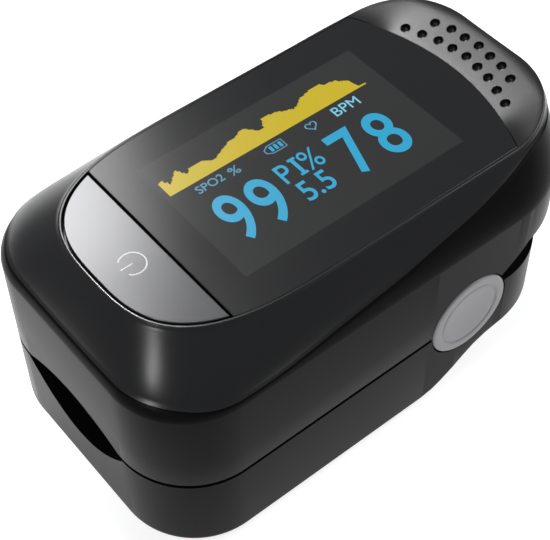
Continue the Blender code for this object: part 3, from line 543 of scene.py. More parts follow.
def block(name, low, high, edge=0.0):
    """A box between two corners with rounded edges."""
    bm = bmesh.new()
    bmesh.ops.create_cube(bm, size=MM)
    bmesh.ops.scale(bm, vec=[b - a for a, b in zip(low, high)], verts=bm.verts)
    bmesh.ops.translate(bm, vec=[(a + b) / 2 * MM for a, b in zip(low, high)], verts=bm.verts)
    if edge:
        bmesh.ops.bevel(
            bm, geom=bm.edges[:], offset=edge * MM, segments=2, profile=0.5, affect="EDGES",
            material=-1,
        )
    return to_object(bm, name)


def rod(name, centre, radius, length, axis="X", steps=64):
    """A round bar centred on a point."""
    bm = bmesh.new()
    bmesh.ops.create_cone(
        bm, cap_ends=True, segments=steps, radius1=radius * MM, radius2=radius * MM,
        depth=length * MM,
    )
    if axis == "X":
        bmesh.ops.rotate(bm, verts=bm.verts, matrix=Matrix.Rotation(math.pi / 2, 3, "Y"))
    bmesh.ops.translate(bm, verts=bm.verts, vec=Vector(centre) * MM)
    return to_object(bm, name)


def carve(obj, *tools, how="DIFFERENCE"):
    """Cuts (or joins) tools with the exact solver, keeps the result and drops the tools."""
    for tool in tools:
        mod = obj.modifiers.new(tool.name, "BOOLEAN")
        mod.solver = "EXACT"
        mod.operation = how
        mod.object = tool
    bpy.context.view_layer.update()
    graph = bpy.context.evaluated_depsgraph_get()
    mesh = bpy.data.meshes.new_from_object(obj.evaluated_get(graph))
    obj.modifiers.clear()
    obj.data = mesh
    for tool in tools:
        bpy.data.objects.remove(tool, do_unlink=True)
    shade(mesh, SHARP)
    return obj


def stands_for(obj, node, body, mat):
    """Dresses a fine piece, sets it on its body and hides the plain node."""
    obj.data.materials.clear()
    obj.data.materials.append(mat)
    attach(obj, body)
    if node:
        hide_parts(node)
    print(obj.name, "faces:", len(obj.data.polygons))


# %% [markdown]
# ## Top cover
#
# The cover is the glossy lid. Its ring climbs from the parting line, over the shoulder and
# round the rim, then crosses the face in rings that follow the ramp of the grip. Inside, a
# second ring drops to the ceiling, so the lid is a closed body with a real thickness.

# %% Raise the cover
def scaled_oval(scale, drop):
    """A ring of the top face, a little inside the rim."""
    return [(x * scale, y * scale, top_z(x * scale, y * scale) - drop) for x, y in OVAL]


CEILING_Z, COVER_WALL = 26.9, 1.45
ROWS, FACE_ROWS = 24, 12
FACE_SCALE, FACE_STEP = 0.9882, 0.0172

bm = bmesh.new()
foot = [on_skin(i, parting_q[i]) for i in range(COLUMNS)]
lift = [0.035 + 0.11 * ease(p.y, 8, 24) for p in foot]
ceiling = []
for i in range(COLUMNS):
    q = q_where(i, lambda p: p.z - CEILING_Z)
    p = on_skin(i, q, COVER_WALL)
    ceiling.append((p.x, p.y, CEILING_Z))
ring = first_ring(bm, ceiling)
cap_ring(bm, ring)
for inset, rise in ((1.4, 0.0), (0.1, 0.0), (0.03, 0.03), (0.0, 0.08)):
    points = []
    for i in range(COLUMNS):
        p = on_skin(i, parting_q[i], inset)
        points.append((p.x, p.y, p.z + lift[i] + rise))
    ring = next_ring(bm, ring, points)
start_q = [q_where(i, lambda p: p.z - foot[i].z - lift[i] - 0.3) for i in range(COLUMNS)]
for row in range(ROWS + 1):
    t = row / ROWS
    points = [on_skin(i, start_q[i] + (1 - start_q[i]) * t) for i in range(COLUMNS)]
    ring = next_ring(bm, ring, points)
for scale, drop in ((0.9982, 0.1), (0.9952, 0.048), (0.9918, 0.012), (FACE_SCALE, 0.0)):
    ring = next_ring(bm, ring, scaled_oval(scale, drop))
for step in range(1, FACE_ROWS + 1):
    ring = next_ring(bm, ring, scaled_oval(FACE_SCALE - FACE_STEP * step, 0.0))
cap_ring(bm, ring)
cover = to_object(bm, "cover_fine")


# %% [markdown]
# ## Seats and dimples in the cover
#
# The seat for the window and the button is the oval, pulled in a little and closed at the
# rear by the arc where the grip begins. The grip has two rows of round dimples, nine and
# seven. Each is a small ball sunk into the ramp, so its rim is a clean circle.

# %% Cut the seat, the openings and the dimples
CHORD_Y = -17.95


def oval_outline(inset, front=None, rear=None):
    """The oval pulled in, closed by a straight front or by the grip's arc."""
    half = oval_front(inset)[::3] + oval_rear(inset)[1:]
    if front is not None:
        near = [p for p in half if p[1] > front + 0.15]
        reach = min(half, key=lambda p: abs(p[1] - front))[0]
        half = [(reach, front)] + near
    if rear is not None:
        half = [p for p in half if p[1] < grip_line(p[0]) - rear - 0.1]
        last = half[-1][0]
        half += [(last * (1 - i / 24), grip_line(last * (1 - i / 24)) - rear) for i in range(25)]
    return half + [(-x, y) for x, y in reversed(half) if x > 1e-6]


def segment_outline(inset, chord):
    """The front segment of the oval, closed by the chord."""
    half = [p for p in oval_front(inset)[::3] if p[1] < chord - 0.05]
    reach = min(oval_front(inset), key=lambda p: abs(p[1] - chord))[0]
    half += [(reach, chord)]
    return half + [(-x, y) for x, y in reversed(half) if x > 1e-6]


seat = slab("seat", oval_outline(0.35, rear=0.12), "Z", PANEL_Z - 1.3, 33)
well = slab("button_well", segment_outline(1.7, CHORD_Y - 1.0), "Z", 22, 31)
view_hole = block("view_hole", (-10.2, CHORD_Y + 3.5, 22), (10.2, 16.8, 31))
carve(cover, seat, well, view_hole)

BALL_R, BALL_SINK = 0.62, 0.12
INNER_ROW = [(0.0, 25.3), (2.03, 25.07), (4.03, 24.77), (6.06, 24.13), (8.1, 23.42)]
OUTER_ROW = [(0.0, 27.18), (2.04, 26.96), (4.04, 26.78), (6.09, 26.12)]
bm = bmesh.new()
for x, y in INNER_ROW + OUTER_ROW:
    for side in (-1, 1) if x else (1,):
        ball = bmesh.ops.create_uvsphere(bm, u_segments=28, v_segments=14, radius=BALL_R * MM)
        spot = Vector((side * x, y, top_z(x, y) - BALL_SINK))
        bmesh.ops.translate(bm, verts=ball["verts"], vec=spot * MM)
dimples = to_object(bm, "dimples")
carve(cover, dimples)
stands_for(cover, "top_cover", "upper_jaw", COVER)

# %% [markdown]
# ## Upper housing
#
# The housing is the middle band. Its wall is raised the same way, with a small radius at
# the jaw line and another where it turns in under the cover. The floor is thick, because
# the finger pad, the hinge bay and the emitter are let into it from below.

# %% Raise the housing
bm = bmesh.new()
ring = first_ring(bm, [(*(on_skin(i, 0.0, 0.3).xy), JAW_Z + 0.15) for i in range(COLUMNS)])
cap_ring(bm, ring)
for inset, z in ((0.15, 0.18), (0.04, 0.29), (0.0, 0.45), (0.0, 4.0), (0.0, SHOULDER_Z - JAW_Z)):
    ring = next_ring(bm, ring, [(*(on_skin(i, 0.0, inset).xy), JAW_Z + z) for i in range(COLUMNS)])
drop = [0.035 + 0.17 * ease(p.y, 8, 24) for p in foot]
stop_q = [q_where(i, lambda p: p.z - foot[i].z + drop[i] + 0.14) for i in range(COLUMNS)]
for row in range(1, 9):
    ring = next_ring(bm, ring, [on_skin(i, stop_q[i] * row / 8) for i in range(COLUMNS)])
for inset, sink in ((0.02, 0.06), (0.06, 0.02), (0.13, 0.0), (1.3, 0.0)):
    points = []
    for i in range(COLUMNS):
        p = on_skin(i, parting_q[i], inset)
        points.append((p.x, p.y, p.z - drop[i] - sink))
    ring = next_ring(bm, ring, points)
for z in (22.5, 17.4):
    ring = next_ring(bm, ring, [(*(on_skin(i, 0.0, 1.5).xy), z) for i in range(COLUMNS)])
cap_ring(bm, ring)
housing = to_object(bm, "housing_fine")


# %% [markdown]
# ## Openings in the housing
#
# The squeeze gap at the rear is a V that starts on the hinge's clearance circle and opens
# to the back. The front edge is arched for the finger. The pad's pocket, the hinge bay and
# the emitter's window hole come from below, and the charging port's mouth from the side.

# %% Cut the housing
def finger_edge(rise, grow, steps=40):
    """The finger opening's edge above or below the jaw line, from left to right."""
    half = 8.86 + grow
    height = rise + (grow if rise > 0 else -grow)
    shares = [2 * i / steps - 1 for i in range(steps + 1)]
    return [(half * t, JAW_Z + height * (1 - t * t)) for t in shares]


def down_to(edge, z):
    """Closes an edge into a cutter that runs on to height z."""
    return [(edge[0][0], z)] + edge + [(edge[-1][0], z)]


def on_hinge(name, out, radius, length):
    """A pair of round cutters on the hinge line, one on each side."""
    sides = (("_l", -out), ("_r", out))
    return [rod(name + tag, (x, PIVOT_Y, PIVOT_Z), radius, length, steps=128) for tag, x in sides]


ARC_R, RECESS_R = 5.25, 5.6
squeeze = [(PIVOT_Y + 2.6, 9.0), (PIVOT_Y + 2.6, 12.6)]
lip = math.radians(33)
squeeze += [(PIVOT_Y + ARC_R * math.cos(lip), PIVOT_Z + ARC_R * math.sin(lip))]
squeeze += [(19.3, 17.9), (33, 17.9), (33, 9.0)]
bay = [(4.8, 10), (4.8, 15.7), (16.2, 15.7), (16.2, 10)]
pocket = [(-11.4, 10), (-11.4, 14.2), (-8.6, 15.1), (8.6, 15.1), (11.4, 14.2), (11.4, 10)]
shell_gap = [(4.6, 10), (4.6, 15.0), (16.4, 15.0), (16.4, 10)]
carve(
    housing,
    slab("squeeze", squeeze, "X", -22, 22),
    slab("bay", bay, "X", -14.1, 14.1),
    *on_hinge("clear", 17.9, ARC_R, 3.7),
    *on_hinge("recess", 18.7, RECESS_R, 3.0),
    slab("gap_l", shell_gap, "X", -16.06, -14.1),
    slab("gap_r", shell_gap, "X", 14.1, 16.06),
    slab("arch", down_to(finger_edge(2.2, 0.2), 10), "Y", -33, 2.6),
    slab("pocket", pocket, "Y", -28.7, 2.8),
    block("eye_hole", (-3.2, -16.2, 12), (3.2, -7.8, 20)),
    block("port_mouth", (-19, -6.3, 19.95), (-14.5, 3.3, 23.65), 0.6),
    block("cable_slot", (-3.6, 6.6, 14), (3.6, 8.4, 20)),
)
carve(
    housing,
    rod("sink_l", (-9.2, 22.4, 17.5), 2.2, 2.2, "Z", 40),
    rod("sink_r", (9.2, 22.4, 17.5), 2.2, 2.2, "Z", 40),
)
stands_for(housing, "upper_housing", "upper_jaw", HOUSING)

# %% [markdown]
# ## Seal of the charging port
#
# A thin rubber frame fills the gap between the port's steel shell and its mouth in the
# wall, so nothing can be seen past the port.

# %% Frame the port
seal = block("port_seal", (-17.0, -6.28, 19.97), (-15.3, 3.28, 23.63), 0.1)
carve(seal, block("port_shell_room", (-18, -5.98, 20.27), (-13, 2.98, 23.33), 0.5))
stands_for(seal, None, "upper_jaw", SILICONE)

# %% [markdown]
# ## Lower housing
#
# The lower jaw has a flat foot with a rounded edge, and towards the back its underside is
# scooped up for the thumb. The foot's rings therefore follow a height that depends on
# how far back they are. The top is cut to the jaw line, round the ears of the hinge and
# along the squeeze lever in one stroke.

# %% Raise the lower jaw
SCOOP = [(-33, 0.0), (4.6, 0.0), (6.2, 0.25), (7.6, 0.85), (9.2, 1.75), (10.8, 2.85), (12.4, 3.8)]
SCOOP += [(14.2, 4.45), (16.2, 4.8), (18.6, 5.0), (33, 5.1)]
LEVER_Y, LEVER_R = 26.7, 10.3


def scoop_z(y):
    """Height of the underside."""
    for (ay, az), (by, bz) in zip(SCOOP, SCOOP[1:]):
        if y <= by:
            t = (y - ay) / (by - ay)
            if 4.6 < y < 18.6:
                t = t * 0.5 + ease(t, 0, 1) * 0.5
            return az + (bz - az) * t
    return SCOOP[-1][1]


low_side = [-17.0, -9.0, -1.0, 4.6, 5.4, 6.2, 6.9, 7.6, 8.4, 9.2, 10.0, 10.8, 11.6, 12.4]
low_side += [13.3, 14.2, 15.2]
FOOT_R = 1.3


def foot_plan(tuck, side):
    """The right half of the foot's outline, drawn in by tuck."""
    return half_plan(
        HALF_W - tuck, FRONT_Y + tuck, FRONT_R - tuck, LEVER_Y - tuck, LEVER_R - tuck, side
    )


bm = bmesh.new()
levels = []
for step in range(8):
    a = step / 7 * math.pi / 2
    tuck, up_by = FOOT_R * (1 - math.sin(a)), FOOT_R * (1 - math.cos(a))
    levels.append([(x, y, scoop_z(y) + up_by) for x, y in mirrored(foot_plan(tuck, low_side))])
half = foot_plan(0.0, low_side)
levels.append([(x, y, 18.0) for x, y in mirrored(half)])
sole = first_ring(bm, levels[0])
ring = sole
for points in levels[1:]:
    ring = next_ring(bm, ring, points)
cap_ring(bm, ring)
count, last = len(sole), len(half) - 1
bmesh.ops.contextual_create(bm, geom=sole[:4] + [sole[count - i] for i in (3, 2, 1)])
for i in range(3, last - 3):
    across = [sole[i], sole[i + 1], sole[count - i - 1], sole[count - i]]
    bmesh.ops.contextual_create(bm, geom=across)
bmesh.ops.contextual_create(bm, geom=sole[last - 3 : last + 4])
lower = to_object(bm, "lower_fine")

# %% [markdown]
# ## Openings in the lower jaw
#
# From above come the finger's trough and the hollow for the hinge and its springs. From
# below come the battery bay and the rails of its door. The front is notched for the finger.

# %% Cut the lower jaw
EAR_R, LOW_WALL = 4.9, 1.9
EDGE_Z, LEVER_Z = JAW_Z - 0.15, 13.75
trim = [(-33, 25), (-33, EDGE_Z)]
first = 180 - math.degrees(math.asin((EDGE_Z - PIVOT_Z) / EAR_R))
final = math.degrees(math.asin((LEVER_Z - PIVOT_Z) / EAR_R))
trim += arc(PIVOT_Y, PIVOT_Z, EAR_R, first, final, 48)
trim += [(33, LEVER_Z), (33, 25)]
trough = [(-11.4, 13), (-11.4, 9.6), (-8.2, 6.6), (-4.2, 5.4)]
trough += [(-x, z) for x, z in reversed(trough)]
inner = foot_plan(LOW_WALL, [8.0])
inner = [(HALF_W - LOW_WALL, 4.6)] + [p for p in inner if p[1] > 4.9]
inner += [(-x, y) for x, y in reversed(inner) if x > 1e-6]
carve(
    lower,
    slab("trim", trim, "X", -22, 22),
    slab("notch", down_to(finger_edge(-4.8, 0.2), 13), "Y", -33, -27.7),
    slab("trough", trough, "Y", -28.7, 2.8),
    slab("hinge_hollow", inner, "Z", 6.7, 22),
    block("side_hollow_l", (-16.1, -17, 8.2), (-13.0, 3.6, 13)),
    block("side_hollow_r", (13.0, -17, 8.2), (16.1, 3.6, 13)),
    block("battery_bay", (-12.4, -22.2, -1), (12.4, 3.4, 4.65)),
    block("door_slot", (-12.6, -22.7, -1), (12.6, 12, 1.35)),
    block("door_rail", (-13.4, -22.7, 0.45), (13.4, 14, 1.35)),
    block("cable_way", (-2.6, 2.4, 3.4), (2.6, 6.9, 8.0)),
    block("detector_seat", (-3.0, -15.9, 4.7), (3.0, -8.1, 6.5)),
    *on_hinge("recess", 18.7, RECESS_R, 3.0),
)
stands_for(lower, "lower_housing", "lower_jaw", HOUSING)

# %% [markdown]
# ## Display window
#
# The window is one sheet of smoked acrylic. The screen behind it shows as a slightly
# lighter rectangle even where it is unlit. That rectangle is a mask worked out from the
# piece's own coordinates, in metres, and mixed into the colour.

# %% The smoked sheet
window_plan = oval_outline(0.4, front=CHORD_Y + 0.13, rear=0.2)
window = slab("window_fine", window_plan, "Z", 28.05, PANEL_Z, 0.07, 3, (False, True))
SMOKED = finish("smoked_acrylic", (0.006, 0.006, 0.0063), 0.19, grain_mm=0.6, drift=0.04)
tree = SMOKED.node_tree
shader = tree.nodes["Principled BSDF"]
spot = tree.nodes.new("ShaderNodeTexCoord")
parts = tree.nodes.new("ShaderNodeSeparateXYZ")
tree.links.new(spot.outputs["Object"], parts.inputs["Vector"])


def edge_mask(tree, source, centre, half, soft=0.00012):
    """1 where a coordinate lies within half of the centre, with a soft edge."""
    shift = tree.nodes.new("ShaderNodeMath")
    shift.operation = "SUBTRACT"
    shift.inputs[1].default_value = centre
    tree.links.new(source, shift.inputs[0])
    size = tree.nodes.new("ShaderNodeMath")
    size.operation = "ABSOLUTE"
    tree.links.new(shift.outputs[0], size.inputs[0])
    mask = tree.nodes.new("ShaderNodeMapRange")
    mask.inputs["From Min"].default_value = half - soft
    mask.inputs["From Max"].default_value = half + soft
    mask.inputs["To Min"].default_value = 1.0
    mask.inputs["To Max"].default_value = 0.0
    tree.links.new(size.outputs[0], mask.inputs["Value"])
    return mask.outputs["Result"]


SCREEN_HALF_X, SCREEN_MID_Y, SCREEN_HALF_Y = 0.00938, 0.000965, 0.014835
across = edge_mask(tree, parts.outputs["X"], 0.0, SCREEN_HALF_X)
lengthways = edge_mask(tree, parts.outputs["Y"], SCREEN_MID_Y, SCREEN_HALF_Y)
both = tree.nodes.new("ShaderNodeMath")
both.operation = "MULTIPLY"
tree.links.new(across, both.inputs[0])
tree.links.new(lengthways, both.inputs[1])
screen = tree.nodes.new("ShaderNodeMix")
screen.data_type = "RGBA"
screen.inputs["B"].default_value = (0.018, 0.018, 0.018, 1)
tint_link = shader.inputs["Base Color"].links[0].from_socket
tree.links.new(tint_link, screen.inputs["A"])
tree.links.new(both.outputs[0], screen.inputs["Factor"])
tree.links.new(screen.outputs["Result"], shader.inputs["Base Color"])
stands_for(window, "window_lens", "upper_jaw", SMOKED)


# %% [markdown]
# ## What the screen shows
#
# The lit marks are thin sheets laid flush in the window's face: a pulse trace, two large
# readings, a small one between them, three generic captions, a battery and a heart. They
# are laid out in the reader's own directions, u to the right and v up the screen, and then
# turned into place, because the screen is read from the oximeter's side.

# %% Tools for marks
def lit(name, colour, strength):
    """A glowing screen colour under a gloss face, with a faint dot pattern."""
    unlit = tuple(c * 0.03 for c in colour)
    mat = finish(name, unlit, 0.28, grain_mm=0.1, depth=0.0001, drift=0.03)
    tree = mat.node_tree
    shader = tree.nodes["Principled BSDF"]
    shader.inputs["Emission Strength"].default_value = strength
    dots = tree.nodes.new("ShaderNodeTexVoronoi")
    dots.inputs["Scale"].default_value = 4500.0
    dots.inputs["Randomness"].default_value = 0.0
    where = tree.nodes.new("ShaderNodeTexCoord")
    tree.links.new(where.outputs["Object"], dots.inputs["Vector"])
    mix = tree.nodes.new("ShaderNodeMix")
    mix.data_type = "RGBA"
    mix.inputs["A"].default_value = (*colour, 1)
    mix.inputs["B"].default_value = (*(c * 0.86 for c in colour), 1)
    tree.links.new(dots.outputs["Distance"], mix.inputs["Factor"])
    tree.links.new(mix.outputs["Result"], shader.inputs["Emission Color"])
    return mat


YELLOW = lit("pixel_yellow", (0.62, 0.47, 0.005), 0.93)
CYAN = lit("pixel_cyan", (0.02, 0.39, 0.66), 0.93)
PALE = lit("pixel_pale_cyan", (0.22, 0.62, 0.82), 0.95)
DULL = lit("pixel_dull_cyan", (0.08, 0.30, 0.45), 0.95)
MARK_LOW, MARK_HIGH = PANEL_Z - 0.02, PANEL_Z + 0.025


def from_reader(points):
    """Reader's (u, v) to the model's (x, y)."""
    return [(-v, u) for u, v in points]


def mark(obj, mat, slot="oled_glass", body="upper_jaw"):
    """Finishes a mark and sets it on its body."""
    obj.data.materials.clear()
    obj.data.materials.append(mat)
    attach(obj, body)


def as_mesh(guide):
    """The mesh of a curve or type object, which is then dropped."""
    bpy.context.scene.collection.objects.link(guide)
    bpy.context.view_layer.update()
    graph = bpy.context.evaluated_depsgraph_get()
    mesh = bpy.data.meshes.new_from_object(guide.evaluated_get(graph))
    bpy.data.objects.remove(guide, do_unlink=True)
    return mesh


def lettering(name, words, left, low, width, height, mat, weight=0.0):
    """Type made a mesh, scaled to a box in the reader's directions, laid flat."""
    curve = bpy.data.curves.new(name, "FONT")
    curve.body = words
    curve.extrude = 0.5
    curve.offset = weight
    curve.resolution_u = 8
    guide = bpy.data.objects.new(name + "_type", curve)
    mesh = as_mesh(guide)
    lows = [min(v.co[k] for v in mesh.vertices) for k in range(3)]
    spans = [max(v.co[k] for v in mesh.vertices) - lows[k] for k in range(3)]
    for vert in mesh.vertices:
        u = left + (vert.co.x - lows[0]) / spans[0] * width
        v = low + (vert.co.y - lows[1]) / spans[1] * height
        z = MARK_LOW + (vert.co.z - lows[2]) / spans[2] * (MARK_HIGH - MARK_LOW)
        vert.co = Vector((-v, u, z)) * MM
    bm = bmesh.new()
    bm.from_mesh(mesh)
    mark(to_object(bm, name), mat)


def stroke(name, points, width, mat, closed=False, **more):
    """A pen line laid flat, from a round bar pressed thin."""
    curve = bpy.data.curves.new(name, "CURVE")
    curve.dimensions = "3D"
    curve.bevel_depth = width / 2 * MM
    curve.bevel_resolution = 3
    curve.use_fill_caps = True
    line = curve.splines.new("POLY")
    line.points.add(len(points) - 1)
    for point, (x, y) in zip(line.points, points):
        point.co = (x * MM, y * MM, 0, 1)
    line.use_cyclic_u = closed
    guide = bpy.data.objects.new(name + "_pen", curve)
    mesh = as_mesh(guide)
    press = (MARK_HIGH - MARK_LOW) / width
    lift_to = Matrix.Translation((0, 0, (MARK_LOW + MARK_HIGH) / 2 * MM))
    mesh.transform(lift_to @ Matrix.Diagonal((1, 1, press, 1)))
    bm = bmesh.new()
    bm.from_mesh(mesh)
    mark(to_object(bm, name, 60), mat, **more)


# %% The pulse trace
trace = [(-13.25, 4.05), (-13.25, 6.3), (-12.9, 6.35), (-12.3, 5.45), (-11.9, 5.75), (-10.85, 6.8)]
trace += [(-10.1, 5.55), (-9.9, 5.55), (-9.5, 6.1), (-8.6, 6.05), (-8.0, 6.1), (-7.3, 5.8)]
trace += [(-6.85, 5.5), (-6.3, 5.52), (-5.8, 5.7), (-5.3, 5.9), (-4.6, 6.2), (-3.9, 6.55)]
trace += [(-3.3, 6.57), (-2.7, 6.65), (-2.05, 7.0), (-1.45, 7.1), (-1.0, 6.6), (-0.6, 6.35)]
trace += [(-0.4, 5.95), (0.0, 5.73), (0.42, 5.72), (1.07, 7.05), (1.9, 7.05), (2.3, 6.88)]
trace += [(3.1, 6.78), (3.5, 6.6), (3.7, 6.35), (4.3, 6.17), (4.8, 5.94), (5.3, 6.14)]
trace += [(6.0, 6.44), (6.2, 6.8), (7.0, 6.9), (7.9, 7.16), (8.5, 7.26), (9.1, 7.23)]
trace += [(9.65, 7.12), (9.95, 6.76), (10.8, 6.6), (11.35, 6.55), (11.6, 6.12), (12.1, 5.84)]
trace += [(12.5, 5.3), (12.65, 4.7), (12.8, 4.2), (13.7, 4.12), (13.7, 3.95)]
STEP_U, STEP_V = 0.24, 0.16
comb = []
for (au, av), (bu, bv) in zip(trace[1:-3], trace[2:-2]):
    steps = max(1, round(abs(bu - au) / STEP_U))
    for k in range(steps):
        u, v = au + (bu - au) * k / steps, av + (bv - av) * k / steps
        level = round(v / STEP_V) * STEP_V
        comb.append((u, level))
        if steps > 1:
            comb.append((au + (bu - au) * (k + 0.98) / steps, level))
outline = from_reader(trace[:1] + comb + trace[-3:])
mark(slab("pulse_trace", outline, "Z", MARK_LOW, MARK_HIGH), YELLOW)
print("steps in the trace:", len(outline))

# %% The readings and captions
lettering("oxygen_reading_tens", "9", -11.15, -6.0, 3.15, 6.9, CYAN, 0.012)
lettering("oxygen_reading_units", "9", -7.25, -6.25, 3.25, 6.85, CYAN, 0.012)
lettering("pulse_reading_tens", "7", 4.1, -6.35, 3.4, 6.75, CYAN, 0.012)
lettering("pulse_reading_units", "8", 8.55, -6.55, 3.45, 6.75, CYAN, 0.012)
lettering("index_caption_p", "P", -2.75, -2.35, 1.45, 2.75, CYAN, 0.004)
lettering("index_caption_percent", "%", 0.35, -2.45, 2.3, 2.95, CYAN, 0.0)
lettering("index_reading", "5.5", -2.45, -5.75, 3.95, 2.85, CYAN, 0.008)
lettering("rate_caption", "BPM", 7.8, 2.0, 3.5, 1.35, PALE, 0.0)
lettering("oxygen_caption", "SPO2", -10.7, 2.35, 3.45, 1.1, DULL, 0.008)
lettering("oxygen_percent", "%", -6.5, 2.2, 1.3, 1.2, DULL, 0.01)
serif_i = [(-0.75, -2.35), (0.2, -2.35), (0.2, -2.0), (-0.05, -2.0), (-0.05, 0.05), (0.2, 0.05)]
serif_i += [(0.2, 0.4), (-0.75, 0.4), (-0.75, 0.05), (-0.5, 0.05), (-0.5, -2.0), (-0.75, -2.0)]
mark(slab("index_caption_i", from_reader(serif_i), "Z", MARK_LOW, MARK_HIGH), CYAN)

# %% The battery and the heart
shell = [(-1.0, 2.12), (0.85, 2.12), (0.85, 3.38), (-1.0, 3.38), (-1.65, 3.0), (-1.65, 2.5)]
stroke("battery_shell", from_reader(shell), 0.15, DULL, closed=True)
for k in range(3):
    u = -1.0 + 0.6 * k
    bar = [(u, 2.36), (u + 0.36, 2.36), (u + 0.36, 3.14), (u, 3.14)]
    mark(slab(f"battery_bar_{k}", from_reader(bar), "Z", MARK_LOW, MARK_HIGH + 0.004), CYAN)
HEART_U, HEART_V, HEART_SIZE = 4.72, 2.72, 0.042
heart = []
for i in range(48):
    a = i / 48 * 2 * math.pi
    hu = 16 * math.sin(a) ** 3
    hv = 13 * math.cos(a) - 5 * math.cos(2 * a) - 2 * math.cos(3 * a) - math.cos(4 * a)
    heart.append((HEART_U + hu * HEART_SIZE, HEART_V + hv * HEART_SIZE))
stroke("heart_line", from_reader(heart), 0.16, DULL, closed=True)

# %% [markdown]
# ## Power button
#
# The button fills the front segment of the oval. It is moulded plastic under silver paint:
# a plate with a soft edge, a skirt below it and a stem that reaches the switch. Its mark is
# the usual ring and bar, printed very thin.

# %% Plate, skirt, stem and mark
plate = segment_outline(0.62, CHORD_Y - 0.13)
button = slab("button_fine", plate, "Z", PANEL_Z - 0.8, PANEL_Z, 0.1, 3, (False, True))
skirt = slab("skirt", segment_outline(2.0, CHORD_Y - 1.3), "Z", 26.6, PANEL_Z - 0.4)
core = slab("core", segment_outline(2.9, CHORD_Y - 2.0), "Z", 25.0, PANEL_Z - 0.9)
carve(button, skirt, how="UNION")
carve(button, core)
carve(button, rod("stem", (0.0, -21.55, 27.5), 1.2, 2.2, "Z", 40), how="UNION")
stands_for(button, "power_button", "button", BUTTON)
SIGN_X, SIGN_Y, SIGN_R, SIGN_PEN = 0.82, -21.56, 1.46, 0.14
SIGN_GAP = 42  # degrees on each side of the bar
ring_line = arc(SIGN_X, SIGN_Y, SIGN_R, -90 + SIGN_GAP, 270 - SIGN_GAP, 44)
bar_line = [(SIGN_X, -23.0), (SIGN_X, -21.55)]
stroke("power_ring", ring_line, SIGN_PEN, MARKING, slot="button_satin", body="button")
stroke("power_bar", bar_line, SIGN_PEN, MARKING, slot="button_satin", body="button")

# %% [markdown]
# ## Pivot caps
#
# Each cap is a turned disc: a flat outer ring, a narrow groove and a shallow dish. Its
# profile is drawn once and spun about the hinge line, and `use_merge` closes the seam.

# %% Spin the caps
CAP_BACK_X = 17.5
CAP_PROFILE = [(0.0, 0.0), (5.3, 0.0), (5.41, 0.1), (5.41, 0.4), (5.37, 0.54), (5.28, 0.62)]
CAP_PROFILE += [(5.14, 0.65), (4.4, 0.65), (4.3, 0.63), (4.22, 0.53), (4.14, 0.49), (4.02, 0.49)]
CAP_PROFILE += [(3.94, 0.53), (3.84, 0.57), (3.4, 0.54), (2.7, 0.47), (1.8, 0.41), (0.9, 0.385)]
CAP_PROFILE += [(0.0, 0.38)]
for side, tag in ((-1, "l"), (1, "r")):
    bm = bmesh.new()
    spots = [(side * (CAP_BACK_X + h), PIVOT_Y, PIVOT_Z + r) for r, h in CAP_PROFILE]
    line = [bm.verts.new(Vector(spot) * MM) for spot in spots]
    edges = [bm.edges.new(pair) for pair in zip(line, line[1:])]
    bmesh.ops.spin(
        bm, geom=line + edges, cent=Vector((0, PIVOT_Y, PIVOT_Z)) * MM, axis=(1, 0, 0),
        angle=2 * math.pi, steps=96, use_merge=True,
    )
    cap = to_object(bm, "pivot_cap_fine_" + tag, 40)
    stands_for(cap, "pivot_cap_" + tag, "lower_jaw", CAP)
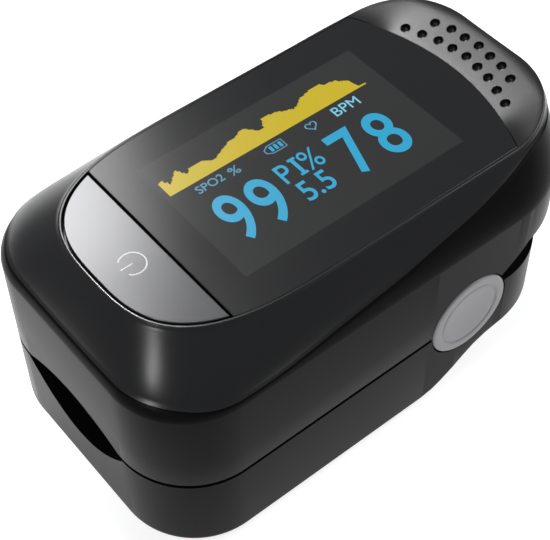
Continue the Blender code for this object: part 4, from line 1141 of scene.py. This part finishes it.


# %% [markdown]
# ## Finger pads
#
# Both pads are moulded silicone that lines the finger's channel. They are soft, so each is
# drawn as one form with rounded ends, and each has an opening for its light window.

# %% The two pads
def pad(name, outline, eye_low, eye_high):
    """A moulded pad along the channel with rounded ends and an opening."""
    obj = slab(name, outline, "Y", -28.5, 2.6, 0.35, 4)
    return carve(obj, block("eye", (-2.8, -15.2, eye_low), (2.8, -8.8, eye_high), 0.5))


roof = [(x, z + 0.25) for x, z in finger_edge(2.2, 0.0)]
upper_outline = [(-11.2, JAW_Z + 0.25)] + roof + [(11.2, JAW_Z + 0.25), (11.2, 14.0), (8.5, 14.95)]
upper_outline += [(-8.5, 14.95), (-11.2, 14.0)]
upper_pad = pad("upper_pad_fine", upper_outline, 12, 20)
stands_for(upper_pad, "upper_pad", "upper_jaw", SILICONE)
valley = [(x, z - 0.25) for x, z in finger_edge(-4.8, 0.0)]
lower_outline = [(-11.2, JAW_Z - 0.25)] + valley + [(11.2, JAW_Z - 0.25), (11.2, 9.7), (8.1, 6.75)]
lower_outline += [(4.1, 5.55), (-4.1, 5.55), (-8.1, 6.75), (-11.2, 9.7)]
lower_pad = pad("lower_pad_fine", lower_outline, 4, 10)
stands_for(lower_pad, "lower_pad", "lower_jaw", SILICONE)

# %% [markdown]
# ## The parts that stay as engineered
#
# Boards, chips, springs, pins, screws, the battery and its door are already the right
# shape. Each gets a finish of its own instead of the plain colour it came with.

# %% Dress the engineered parts
WEARS = {
    "tact_switch": STEEL, "switch_plunger": WHITE, "oled_display": DISPLAY_GLASS,
    "display_gasket": FOAM, "display_carrier": WHITE, "main_board": BOARD, "mcu_chip": CHIP,
    "front_end_chip": CHIP, "regulator_chip": CHIP, "beeper": CHIP, "flex_connector": WHITE,
    "charge_port": STEEL, "housing_screw_l": STEEL, "housing_screw_r": STEEL,
    "emitter_window": OPTIC, "led_emitter": WHITE, "emitter_board": BOARD,
    "battery_door": HOUSING, "battery_pack": POUCH, "detector_window": OPTIC,
    "photodetector": CHIP, "detector_board": BOARD, "hinge_pin_l": STEEL, "hinge_pin_r": STEEL,
    "torsion_spring_l": STEEL, "torsion_spring_r": STEEL, "lower_flex": FLEX, "upper_flex": FLEX,
}
for node, mat in WEARS.items():
    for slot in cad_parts[node].material_slots:
        slot.material = mat
shown = {o.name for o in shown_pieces()}
print("nodes dressed:", len(WEARS), "pieces shown:", len(shown))
